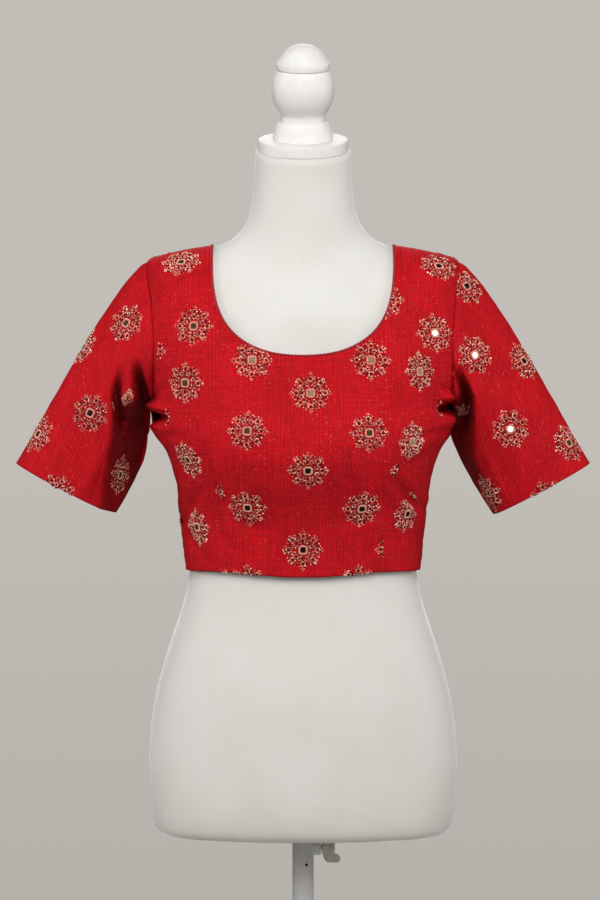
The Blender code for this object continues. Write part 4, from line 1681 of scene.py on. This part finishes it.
        beyond, soft = inward(hang.hinge), self.hinge_softness
        turned = np.where(beyond > soft, beyond, np.maximum(beyond + soft, 0) ** 2 / (4 * soft))
        slope = np.interp(rows, *zip(*hang.slopes))
        depth = turned * slope * self.studio.metres_per_px / MM
        depth = depth + self.hinge_step * (1 - np.exp(-turned / 4))
        room = np.maximum(hang.rearmost - points[..., 1], 0)
        push = turned_back = self.eased(depth * rise(rows, *hang.hinge_rows), room)
        for pleat in hang.pleats:
            offset = inward(pleat.line)
            width = np.where(offset < 0, pleat.outer_width, pleat.inner_width)
            top, foot = pleat.line[0][1], pleat.line[-1][1]
            run = rise(rows, top - 12, top + 32) * (1 - rise(rows, foot - 12, foot + 8))
            push = push + pleat.depth * bell(offset, width) * run
        push = np.where(push > 0, self.eased(push, room + 8), push)
        share = turned_back[:, -1:] / np.maximum(room[:, -1:], 1)
        behind = share * room * rise(degrees, -55, -110)
        return np.where(degrees >= 0, push * rise(degrees, 0, 30), behind)

    @staticmethod
    def eased(push: Array, room: Array) -> Array:
        """A push that eases off as it nears its room."""
        soft = 5.0
        return soft * (np.logaddexp(0, room / soft) - np.logaddexp(0, (room - push) / soft))


# -- small work on the cloth


def dome(sides: int, shoulder: float) -> tuple[Array, Array]:
    """A unit dome that is sunk a little below its foot.

    Args:
        sides: How many sides it has.
        shoulder: How wide its upper ring is.

    Returns:
        Its points and its triangles.
    """
    turns = np.arange(sides) * tau / sides
    ring = np.stack([np.cos(turns), np.sin(turns), np.zeros(sides)], -1)
    points = np.concatenate([ring - 0.5 * UP, ring * (shoulder, shoulder, 0) + 0.75 * UP, [UP]])
    faces = []
    for i in range(sides):
        k = (i + 1) % sides
        faces += [(i, k, sides + k), (i, sides + k, sides + i), (sides + i, sides + k, 2 * sides)]
    return points, np.array(faces)


@dataclass
class Scatter:
    """Small copies of a few templates, gathered into one mesh."""

    finishes: Sequence[Finish]
    points: list[Array] = field(default_factory=list)
    faces: list[Array] = field(default_factory=list)
    slots: list[int] = field(default_factory=list)
    count: int = 0

    def add(self, template: tuple[Array, Array], origin: Vector, axes: Array, size: Sequence[float],
            finish: Finish) -> None:
        """Adds one copy.

        Args:
            template: Points and triangles.
            origin: Where it goes, in metres.
            axes: Its own three directions, as rows.
            size: Its half sizes along them, in millimetres.
            finish: Its finish.
        """
        points, faces = template
        self.points.append(np.array(origin) + (points * np.array(size) * MM) @ axes)
        self.faces.append(faces + self.count)
        self.slots += [self.finishes.index(finish)] * len(faces)
        self.count += len(points)

    def finish(self, name: str) -> None:
        """Makes the piece from the gathered copies.

        Args:
            name: The piece's name.
        """
        mesh = bpy.data.meshes.new(name)
        mesh.from_pydata(np.concatenate(self.points).tolist(), [], np.concatenate(self.faces).tolist())
        piece(mesh, self.finishes, "form", smooth_angle=50)
        mesh.polygons.foreach_set("material_index", np.array(self.slots, np.int32))


@dataclass
class Cloth:
    """A finished panel with its ribs' direction, for laying small work on."""

    sheets: Sequence[Sheet]
    base: float
    grain: Array = field(default_factory=lambda: UP)
    reach: float = 0.02
    slack: float = 0.6

    def __post_init__(self) -> None:
        """Builds a search tree over the panel."""
        faces, start = [], 0
        for sheet in self.sheets:
            height, width, _ = sheet.points.shape
            index = np.arange(height * width).reshape(height, width) + start
            corners = (index[:-1, :-1], index[:-1, 1:], index[1:, 1:], index[1:, :-1])
            faces += np.stack(corners, -1).reshape(-1, 4).tolist()
            start += height * width
        points = np.concatenate([sheet.points.reshape(-1, 3) for sheet in self.sheets])
        self.points = in_metres(points, self.base)
        self.weave = np.concatenate([sheet.weave.reshape(-1, 3) for sheet in self.sheets])
        self.tree = BVHTree.FromPolygons(self.points.tolist(), faces)

    def frame_at(self, outward: Vector) -> Array:
        """The across, along and outward directions.

        Args:
            outward: The way the cloth faces.

        Returns:
            The directions as rows.
        """
        normal = np.array(outward)
        along = unit(self.grain - normal * float(self.grain @ normal))
        return np.stack([np.cross(along, normal), along, normal])

    def lay(self, centre: Vector, axes: Array, across: float, along: float) -> tuple[Vector, Array] | None:
        """The place on the cloth at an offset from a centre.

        Args:
            centre: The centre on the cloth.
            axes: The directions there.
            across: The offset across in millimetres.
            along: The offset along.

        Returns:
            The place and its directions, or nothing off the cloth.
        """
        goal = Vector(np.array(centre) + (axes[0] * across + axes[1] * along) * MM)
        near, outward, _, _ = self.tree.find_nearest(goal, self.reach)
        if near is None:
            return None
        offset = goal - near
        sideways = (offset - outward * offset.dot(outward)).length
        return (near, self.frame_at(outward)) if sideways <= self.slack * MM else None


# mirror tones, each a painted reflection, then the thread finishes
DARK, GREEN = Finish.DARK_MIRROR, Finish.GREEN_MIRROR
PALE, BRIGHT = Finish.PALE_MIRROR, Finish.BRIGHT_MIRROR
GOLD, GLINT, ROSE, BRONZE, DUST = Finish.GOLD, Finish.GLINT, Finish.ROSE, Finish.BRONZE, Finish.DUST


class Keep(Enum):
    """How much of a buti there is: all, one side, or all but its mirror."""

    ALL = 1
    LEFT = 2
    RIGHT = 3
    ROUND = 4


class Spot(NamedTuple):
    """Where a buti's centre stands in the frame, and its look."""

    column_px: float
    row_px: float
    # the colour of the mirror's painted reflection
    tone: Finish = GREEN
    keep: Keep = Keep.ALL
    narrowing: float = 1.0


FRONT_SPOTS = tuple(Spot(*row) for row in (
    (181, 262), (439, 266, DARK), (193.5, 326), (435, 333, BRIGHT), (252, 360, PALE), (371, 360, PALE),
    (185, 383), (420, 371.5, PALE, Keep.ALL, 0.78), (310.6, 393, PALE), (247, 431), (369.5, 433),
    (412.5, 442, PALE, Keep.ALL, 0.78), (188, 460), (308, 471, DARK), (247.5, 508, DARK), (362, 509, DARK),
    (197, 527, GREEN, Keep.ALL, 0.78), (407.5, 514, DARK, Keep.ALL, 0.8), (303, 550, DARK),
    (247.5, 585, DARK), (358, 585, DARK), (227, 590, DARK), (149, 351, GREEN, Keep.RIGHT), (384, 300, PALE),
    (176, 418, GREEN, Keep.LEFT), (431, 410, GREEN, Keep.RIGHT), (405.5, 471, DARK, Keep.LEFT),
    (393, 549, DARK, Keep.LEFT), (233, 493, DARK, Keep.LEFT),
))

SLEEVE_SPOTS = tuple(Spot(*row) for row in (
    (126, 323), (84, 347), (90, 413, DARK), (38, 434), (127, 399, DARK, Keep.ROUND, 0.42),
    (120, 475, DARK, Keep.ALL, 1.35), (55.5, 494), (467, 286, DARK), (475, 355, BRIGHT), (524, 361, DARK),
    (510.5, 429, BRIGHT), (569, 443), (489, 493, DARK, Keep.ALL, 1.35), (461, 411, DARK, Keep.ROUND, 0.5),
    (549, 500, DARK),
))

SLEEVE_BACK = ((52, -60), (52, -144), (52, -228), (117, -102), (117, -186), (180, -150), (180, -234))


class Round(NamedTuple):
    """One round of a buti's stitches, in millimetres."""

    radius: float
    scallop: float
    count: int
    size: Triple
    lean: float
    finishes: tuple[Finish, ...]


# painted glints: a stitch can swap to the next lighter thread, as if catching the light
PAINTED_GLINT_STEP = {BRONZE: ROSE, ROSE: GOLD, GOLD: GLINT}
GROUND = (DUST, DUST, BRONZE)

ROUNDS = (
    Round(7.6, 0.0, 15, (1.9, 1.5, 0.4), 0.04, (DUST,)),
    Round(10.3, 0.0, 20, (2.0, 1.5, 0.4), 0.04, (DUST,)),
    Round(13.0, 0.2, 25, (2.0, 1.5, 0.4), 0.04, GROUND),
    Round(15.7, 0.5, 28, (2.0, 1.5, 0.4), 0.04, GROUND),
    Round(18.3, 1.1, 26, (1.7, 1.2, 0.4), 0.04, (DUST,)),
    Round(7.7, 0.0, 18, (1.05, 0.75, 0.9), 0.5, (ROSE, BRONZE, GOLD)),
    Round(12.7, 0.3, 20, (1.2, 0.85, 1.0), 0.5, (ROSE, GOLD, BRONZE)),
    Round(19.0, 1.2, 28, (1.3, 0.9, 1.0), 0.5, (GOLD, ROSE, ROSE, GLINT)),
)


@dataclass
class Embroidery:
    """The butis, laid out by the frame or by a half drop."""

    blouse: Blouse
    mirror_size: Triple = (3.3, 3.3, 0.9)
    ring_inner: float = 2.9
    ring_outer: float = 5.8
    ring_stitches: int = 26
    round_radius: float = 6.4
    round_stitches: int = 16
    petals: int = 8
    eyelets: tuple[tuple[float, float, float, int], ...] = ((15.3, 0.0, 2.7, 8), (10.2, 0.5, 1.9, 5))
    tip_radii: Pair = (22.0, 20.8)
    column_spacing: float = 65.0
    drop: float = 84.0
    first_row: float = 330.0
    side_reach: Pair = (11.5, 9.0)
    sleeve_run: Pair = (107.0, 200.0)
    seed: int = 11
    stitch: tuple[Array, Array] = field(default_factory=lambda: dome(5, 0.6))
    glass: tuple[Array, Array] = field(default_factory=lambda: dome(22, 0.86))

    def build(self) -> None:
        """Lays every buti."""
        self.random = random.Random(self.seed)
        pole = self.blouse.studio.pole_column_px
        over, up = self.sleeve_run
        self.panel("choli_front", FRONT_SPOTS)
        for name, side in SIDES:
            spots = [spot for spot in SLEEVE_SPOTS if (spot.column_px > pole) == (side > 0)]
            places = [(-side * across, along) for across, along in SLEEVE_BACK]
            self.panel(f"choli_sleeve_{name}", spots, places, unit(np.array([-side * over, 0.0, up])))
        for name, side in SIDES:
            columns = [(column, self.first_row + self.drop / 2 * (column % 2)) for column in range(4)]
            places = [
                (side * (column + 0.5) * self.column_spacing, first + step * self.drop)
                for column, first in columns for step in range(-1, 5)
            ]
            self.panel(f"choli_back_{name}", (), places)

    def panel(self, name: str, spots: Sequence[Spot], places: Sequence[Pair] = (),
              grain: Array = UP) -> None:
        """Lays one panel's butis.

        Args:
            name: The panel's name.
            spots: The first ones' places in the frame.
            places: The others' across and along distances.
            grain: The way its ribs run.
        """
        cloth = Cloth(self.blouse.sheets[name], self.blouse.base, grain)
        threads = [GOLD, GLINT, ROSE, BRONZE, DUST, Finish.EYE, Finish.RING]
        scatter = Scatter([*threads, DARK, GREEN, PALE, BRIGHT])
        for spot in spots:
            found = self.hit(cloth, spot)
            if found:
                self.buti(scatter, cloth, *found, spot)
        for place in places:
            self.at_weave(scatter, cloth, *place)
        scatter.finish(name.replace("choli", "butis"))

    def hit(self, cloth: Cloth, spot: Spot) -> tuple[Vector, Array] | None:
        """Where a spot's line of sight meets the cloth.

        Args:
            cloth: The panel.
            spot: The spot.

        Returns:
            The place and its directions, or nothing.
        """
        eye, way = self.blouse.studio.ray(spot.column_px, spot.row_px)
        near, outward, _, _ = cloth.tree.ray_cast(eye, way)
        if near is not None:
            return (near, cloth.frame_at(outward)) if outward.y < 0.2 else None
        near, outward, _, distance = cloth.tree.find_nearest(eye + way * (-eye.y - 0.08) / way.y)
        if near is None or distance > 0.05 or outward.y > -0.2:
            return None
        beside = eye + way * ((near - eye).dot(outward) / way.dot(outward))
        return beside, cloth.frame_at(outward)

    def at_weave(self, scatter: Scatter, cloth: Cloth, across: float, along: float) -> None:
        """Lays a buti by the cloth's own distances, out of the camera's sight.

        Args:
            scatter: Where it is gathered.
            cloth: The panel.
            across: The distance across in millimetres.
            along: The distance along.
        """
        gap = np.hypot(cloth.weave[:, 0] - across, cloth.weave[:, 1] - along)
        index = int(np.argmin(gap))
        if gap[index] > 14.0:
            return
        near, outward, _, _ = cloth.tree.find_nearest(Vector(cloth.points[index]))
        if outward.y >= 0.12:
            # a painted reflection for the hidden mirror, picked at random
            tone = self.random.choice([GREEN, DARK, PALE])
            self.buti(scatter, cloth, near, cloth.frame_at(outward), Spot(0, 0, tone))

    def buti(self, scatter: Scatter, cloth: Cloth, centre: Vector, axes: Array, spot: Spot) -> None:
        """One buti: a mirror in its ring, a round of seed stitches and eight petals.

        Args:
            scatter: Where it is gathered.
            cloth: The panel.
            centre: Its centre on the cloth.
            axes: The directions there.
            spot: Its tone, and which side of a seam is kept.
        """
        draw = self.random
        # painted glints: butis whose mirrors have lighter painted reflections get more lighter stitches
        painted_glint_share = {DARK: 0.0, GREEN: 0.3}.get(spot.tone, 0.5)

        def put(out: float, aim: float, turn: float, size: Sequence[float], finish: Finish,
                lean: float = 0.0, over: float = 0.0) -> None:
            """Lays one stitch.

            Args:
                out: How far out.
                aim: The direction, in radians.
                turn: How far it is turned.
                size: Its half sizes.
                finish: Its finish.
                lean: How far it leans.
                over: How far over.
            """
            across = (out * cos(aim) - over * sin(aim)) * spot.narrowing
            along = out * sin(aim) + over * cos(aim)
            if spot.keep in (Keep.LEFT, Keep.RIGHT):
                outward = across if spot.keep is Keep.RIGHT else -across
                if outward < self.side_reach[0] or abs(along) > self.side_reach[1]:
                    return
            found = cloth.lay(centre, axes, across, along)
            if found is None:
                return
            # painted glint: a lighter thread in place of this one
            if painted_glint_share and finish in PAINTED_GLINT_STEP and draw.random() < painted_glint_share:
                finish = PAINTED_GLINT_STEP[finish]
            near, frame = found
            local = Matrix.Rotation(turn, 3, "Z") @ Matrix.Rotation(lean, 3, "X")
            scatter.add(self.stitch, near, np.array(local.transposed()) @ frame, size, finish)

        found = cloth.lay(centre, axes, 0.0, 0.0)
        if spot.keep is Keep.ALL and found:
            # the mirror, in the colour of its painted reflection
            scatter.add(self.glass, *found, self.mirror_size, spot.tone)
            half = (self.ring_outer - self.ring_inner) / 2
            for index in range(self.ring_stitches):
                turn = tau * index / self.ring_stitches + draw.uniform(-0.03, 0.03)
                square = 1 + 0.11 * cos(4 * turn + pi)
                middle = (self.ring_inner + self.ring_outer) / 2 * square + draw.uniform(-0.15, 0.15)
                put(middle, turn, turn, (half, 0.78, 1.1), Finish.RING)
        if spot.keep is Keep.ROUND:
            for _ in range(self.round_stitches):
                reach, turn = self.round_radius * draw.random() ** 0.5, draw.uniform(0, tau)
                put(reach, turn, turn, (1.1, 0.8, 1.0), draw.choice((ROSE, GOLD)))
        for row in ROUNDS:
            for index in range(row.count):
                aim = tau * (index + draw.uniform(-0.3, 0.3)) / row.count
                radius = row.radius + row.scallop * cos(self.petals * aim) + draw.uniform(-0.7, 0.7)
                share = draw.uniform(0.7, 1.25)
                size = [side * share for side in row.size]
                turn, finish = draw.uniform(0, 3.1), draw.choice(row.finishes)
                put(radius, aim, turn, size, finish, draw.uniform(-row.lean, row.lean))
        for petal in range(self.petals):
            self.petal(put, tau * petal / self.petals, self.tip_radii[petal % 2])

    def petal(self, put: Callable[..., None], middle_aim: float, tip: float) -> None:
        """One petal: dark eyelets in loops of bright stitches, and its tip.

        Args:
            put: Lays one stitch.
            middle_aim: The petal's direction.
            tip: How far out its tip lies.
        """
        draw = self.random

        def lay(aim: float, out: float, over: float, size: Sequence[float], finish: Finish) -> None:
            """Lays a stitch with a turn and a lean of its own."""
            put(out, aim, draw.uniform(0, 3.1), size, finish, draw.uniform(-0.4, 0.4), over)

        for middle, turn, loop, count in self.eyelets:
            aim = middle_aim + turn * tau / self.petals
            lay(aim, middle, 0.0, (loop * 0.5, loop * 0.45, 1.0), Finish.EYE)
            for index in range(count):
                way = tau * (index + draw.uniform(-0.25, 0.25)) / count
                finish = draw.choice((GOLD, ROSE, ROSE, GLINT))
                lay(aim, middle + loop * cos(way), loop * sin(way), (1.3, 0.9, 1.05), finish)
        for over in (-1.6, 0.0, 1.6):
            lay(middle_aim, tip - abs(over), over, (1.1, 0.8, 0.9), draw.choice((GOLD, ROSE)))


@dataclass
class Stitching:
    """The visible rows of stitches: neckline, cuffs and placket."""

    blouse: Blouse
    length: float = 2.3
    pitch: float = 3.4
    thick: float = 0.32
    neck_inset: float = 6.6
    cuff_inset: float = 22.0
    reach: float = 0.006

    def build(self) -> None:
        """Lays every row."""
        sheets = self.blouse.sheets
        self.cloths = [Cloth(panel, self.blouse.base) for panel in sheets.values()]
        paths = [self.blouse.neck_path(self.pitch, outset=self.neck_inset)]
        for name, _ in SIDES:
            sheet = sheets[f"choli_sleeve_{name}"][0]
            down = sheet.weave[:, 0, 1]
            row = int(np.argmin(np.abs(down - down[-1] - self.cuff_inset)))
            paths.append(spaced(sheet.points[row], self.pitch))
        placket = sheets["choli_placket"][0].points
        paths += [spaced(placket[:, column], self.pitch) for column in (1, -2)]
        scatter = Scatter([Finish.STITCH])
        template = dome(6, 0.7)
        for path in paths:
            for place, axes in self.run(path):
                scatter.add(template, place, axes, (self.length / 2, self.thick, self.thick), Finish.STITCH)
        scatter.finish("choli_stitches")

    def run(self, path: Array) -> Iterable[tuple[Vector, Array]]:
        """The stitches along a path, each on the nearest cloth.

        Args:
            path: A point for each stitch, in millimetres.

        Returns:
            Each one's place and its directions.
        """
        way = unit(np.gradient(path, axis=0))
        for point, along in zip(in_metres(path, self.blouse.base), way):
            hits = [cloth.tree.find_nearest(Vector(point), self.reach) for cloth in self.cloths]
            hits = [hit for hit in hits if hit[0] is not None]
            if hits:
                near, outward, _, _ = min(hits, key=lambda hit: hit[3])
                normal = np.array(outward)
                run = unit(along - normal * float(along @ normal))
                yield near, np.stack([run, np.cross(normal, run), normal])


# -- dress form and stand


@dataclass
class DressForm:
    """The jersey-covered torso, its side seams and its turned neck cap."""

    frame: dict
    tilt: float = 10.0
    seam_width: float = 0.9
    seam_rise: float = 0.4
    seam_step: float = 0.006
    seam_depth: float = 0.004
    smooth_steps: int = 5

    def build(self) -> None:
        """Makes the form's pieces."""
        self.torso()
        self.seams()
        plate = self.cap("neck_plate", "form_neck_plate")
        soften(plate, 0.5)
        self.cap("neck_finial", "form_neck_finial", self.smooth_steps)

    def torso(self) -> None:
        """The torso's cover, smoothed from the frame's faces."""
        flat, sharp = radians(70), radians(55)
        shape = bmesh.new()
        shape.from_mesh(self.frame["nodes"]["form_torso"].data)
        bmesh.ops.remove_doubles(shape, verts=shape.verts, dist=0.002 * MM)
        bmesh.ops.join_triangles(
            shape, faces=shape.faces, angle_face_threshold=flat, angle_shape_threshold=pi
        )
        crease = shape.edges.layers.float.new("crease_edge")
        for edge in shape.edges:
            if len(edge.link_faces) == 2 and edge.calc_face_angle() > sharp:
                edge[crease] = 1.0
        mesh = finished_mesh(shape, "form_torso_cover")
        made = piece(mesh, [Finish.JERSEY], "form", ["form_torso"], 60)
        modify(made, "SUBSURF", levels=2, render_levels=2)

    def seams(self) -> None:
        """A fine flat seam down each side of the cover."""
        tree = tree_of(self.frame["nodes"]["form_torso"])
        low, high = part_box("form_torso")
        heights = np.arange(low.z + 0.012, high.z - 0.02, self.seam_step)
        for name, side in SIDES:
            starts = [Vector((side * 0.4, self.seam_depth, height)) for height in heights]
            hits = [tree.ray_cast(start, Vector((-side, 0, 0)))[0] for start in starts]
            path = np.array([hit for hit in hits if hit is not None])
            out = unit(np.cross(unit(np.gradient(path, axis=0)), DEPTH)) * side
            rings = rings_round(path, self.seam_width * MM * DEPTH, self.seam_rise * MM * out)
            piece(ringed_mesh(f"form_seam_{name}", rings), [Finish.JERSEY], "form")

    def cap(self, node: str, name: str, finer: int = 0) -> Object:
        """A turned piece of the neck cap, on the profile that the node has.

        Args:
            node: The node it stands for.
            name: The piece's name.
            finer: How many steps each row gets, if it is smoothed.

        Returns:
            The piece.
        """
        points = np.array([v.co for v in self.frame["nodes"][node].data.vertices])
        lean = radians(self.tilt)
        axis = UP * cos(lean) - DEPTH * sin(lean)
        rows = {}
        for point in np.unique(np.round(points / MM, 3), axis=0) * MM:
            rows.setdefault(round(point @ axis / MM, 1), []).append(point)
        centre = np.mean([np.mean(ring, axis=0) for ring in rows.values() if len(ring) > 8], axis=0)
        centre = centre - axis * float(centre @ axis)
        profile = []
        for height in sorted(rows):
            offset = np.array(rows[height]) - centre
            offset = offset - np.outer(offset @ axis, axis)
            profile.append((np.linalg.norm(offset, axis=1).max(), height * MM))
        if finer:
            steps = np.linspace(0, len(profile) - 1, (len(profile) - 1) * finer + 1)
            profile = [(max(radius, 0.0), z) for radius, z in catmull_rom(np.array(profile), steps)]
        place = Matrix.Translation(Vector(centre)) @ Matrix.Rotation(lean, 4, "X")
        return piece(turned_mesh(name, profile, place, closed=True), [Finish.PAINT], "form",
                     [node], 50)


@dataclass
class Stand:
    """The pole, its clamp and its foot, with sizes in metres."""

    hole_radius: float = 0.00175
    hole_place: Pair = (0.0039, -0.0335)
    pole: Pair = (0.0115, 0.0098)
    riser: Pair = (0.0095, 0.008)
    pin: tuple[Pair, ...] = (
        (0.0, -0.00095), (0.0007, -0.00105), (0.00125, -0.0014), (0.0015, -0.0019), (0.0015, -0.00265),
        (0.0, -0.00265),
    )
    tube_rounding: float = 0.0004
    base_edge: float = 0.004
    ferrule_bore: float = 0.0118
    boss_bore: float = 0.0033
    boss_root: float = 0.0075
    boss_core: float = 0.01175
    barrel: Pair = (0.0202, 0.0345)
    barrel_radius: float = 0.0073
    ridges: int = 28
    ridge: float = 0.00032
    shank_radius: float = 0.0028
    shank_start: float = 0.0128
    wing_reach: float = 0.0168
    wing_thick: float = 0.0046

    def build(self) -> None:
        """Makes the stand's pieces."""
        self.pin_hole(self.tube("stand_tube", "stand_pole", "stand", *self.pole))
        self.tube("riser_tube", "stand_riser", "riser", *self.riser)
        self.foot()
        low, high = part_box("clamp_boss")
        self.height = (low.z + high.z) / 2
        self.along_screw = Matrix.Translation((0, 0, self.height)) @ Matrix.Rotation(pi / 2, 4, "Y")
        self.boss((high.z - low.z) / 2, high.x)
        self.screw()
        self.wing(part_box("clamp_screw")[1].x)

    def tube(self, node: str, name: str, body: str, outer: float, inner: float) -> Object:
        """A steel tube with softened ends.

        Args:
            node: The node it stands for.
            name: The piece's name.
            body: The body it rides on.
            outer: Its outer radius.
            inner: Its inner radius.

        Returns:
            The piece.
        """
        low, high = (corner.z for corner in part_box(node))
        soft = self.tube_rounding
        profile = [
            (inner, low), (outer - soft, low), (outer, low + soft), (outer, high - soft),
            (outer - soft, high), (inner, high), (inner, low),
        ]
        return piece(turned_mesh(name, profile, sides=64), [Finish.STEEL], body, [node])

    def pin_hole(self, pole: Object) -> None:
        """The hole in the pole for its pin, and the pin's dark button.

        Args:
            pole: The pole.
        """
        x, drop = self.hole_place
        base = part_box("form_torso")[0].z
        place = Matrix.Translation((x, -self.pole[0], base + drop)) @ Matrix.Rotation(pi / 2, 4, "X")
        core = [(self.hole_radius, -0.006), (self.hole_radius, 0.006)]
        cut_out(pole, turned_mesh("pin_hole_drill", core, place, 24, closed=True))
        piece(turned_mesh("pole_pin", self.pin, place, 24), [Finish.PIN], "stand")

    def foot(self) -> None:
        """The heavy round base and the ferrule that holds the pole."""
        low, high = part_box("base_disc")
        radius, top, edge = high.x, high.z, self.base_edge
        arc = [(radius - edge + edge * cos(a), top - edge + edge * sin(a))
               for a in np.linspace(0, pi / 2, 9)]
        profile = [(0.0, low.z), (radius - 0.001, low.z), (radius, low.z + 0.001), *arc, (0.0, top)]
        mesh = turned_mesh("stand_base", profile, sides=128)
        piece(mesh, [Finish.PAINT], "stand", ["base_disc"])
        low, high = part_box("base_ferrule")
        bore, wide, foot, top = self.ferrule_bore, high.x, low.z, high.z
        profile = [
            (bore, foot), (wide - 0.0006, foot), (wide, foot + 0.0006), (wide, foot + 0.0028),
            (wide - 0.0012, foot + 0.005), (bore + 0.0052, foot + 0.0085), (bore + 0.0042, foot + 0.013),
            (bore + 0.0036, top - 0.003), (bore + 0.0026, top - 0.0005), (bore + 0.0018, top),
            (bore, top), (bore, foot),
        ]
        mesh = turned_mesh("stand_ferrule", profile, sides=72)
        piece(mesh, [Finish.STEEL], "stand", ["base_ferrule"])

    def boss(self, radius: float, end: float) -> None:
        """The boss on the pole, cut to sit round it.

        Args:
            radius: Its radius.
            end: How far from the pole's middle it ends.
        """
        bore, root, soft = self.boss_bore, self.boss_root, 0.0007
        profile = [
            (bore, end), (radius - soft, end), (radius, end - soft), (radius, root), (bore, root),
            (bore, end),
        ]
        mesh = turned_mesh("stand_clamp_boss", profile, self.along_screw, 48)
        made = piece(mesh, [Finish.STEEL], "stand", ["clamp_boss"])
        core = [(self.boss_core, self.height - 0.03), (self.boss_core, self.height + 0.03)]
        cut_out(made, turned_mesh("boss_core", core, sides=64, closed=True))

    def screw(self) -> None:
        """The thumb screw's knurled barrel and its shank."""
        start, end = self.barrel
        sides = self.ridges * 4
        stations = (
            (start, 0.82), (start + 0.0006, 0.97), (start + 0.001, 1.0), (end - 0.001, 1.0),
            (end - 0.0004, 0.96), (end, 0.8),
        )
        rings = []
        for x, share in stations:
            ring = []
            for a in (tau * k / sides for k in range(sides)):
                notch = self.ridge * (0.5 + 0.5 * cos(self.ridges * a)) * (share > 0.95)
                r = self.barrel_radius * share - notch
                ring.append((x, r * cos(a), self.height + r * sin(a)))
            rings.append(ring)
        mesh = ringed_mesh("stand_screw_barrel", rings)
        piece(mesh, [Finish.CAST], "clamp_screw", ["clamp_screw"], 30)
        core = [(self.shank_radius, self.shank_start), (self.shank_radius, start + 0.002)]
        mesh = turned_mesh("stand_screw_shank", core, self.along_screw, 24, closed=True)
        piece(mesh, [Finish.CAST], "clamp_screw")

    def wing(self, tip: float) -> None:
        """The wing that hangs from the barrel, out to its tip.

        Args:
            tip: How far out it reaches, in metres.
        """
        (start, end), reach, half = self.barrel, self.wing_reach, self.wing_thick / 2
        outline = (
            (start + 0.001, -0.002), (start + 0.0018, -0.0105), (start + 0.0052, -reach + 0.0006),
            (start + 0.009, -reach), (tip - 0.0028, -reach), (tip - 0.0006, -reach + 0.0014),
            (tip, -reach + 0.0036), (tip - 0.0004, -reach + 0.0064), (tip - 0.0024, -reach + 0.0086),
            (end - 0.0015, -0.0063), (end - 0.0025, -0.002),
        )
        rings = [[(x, y, self.height + z) for x, z in outline] for y in (-half, half)]
        mesh = ringed_mesh("stand_screw_wing", rings)
        made = piece(mesh, [Finish.CAST], "clamp_screw", smooth_angle=70)
        soften(made, 1.1, 3, 35)


def corners(box: tuple[Vector, Vector]) -> list[list[float]]:
    """A box's corners as plain lists."""
    return [list(corner) for corner in box]


def main() -> None:
    """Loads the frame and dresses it."""
    logging.basicConfig(level=logging.INFO, format="%(name)s: %(message)s")
    for obj in list(bpy.data.objects):
        bpy.data.objects.remove(obj, do_unlink=True)
    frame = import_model()
    solid_box = corners(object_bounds())
    studio = Studio()
    for part in (studio, Stand(), DressForm(frame), Blouse(frame, studio)):
        part.build()
    bpy.context.view_layer.update()
    {"solids": solid_box, "visual": corners(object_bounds())}


if __name__ == "__main__":
    main()
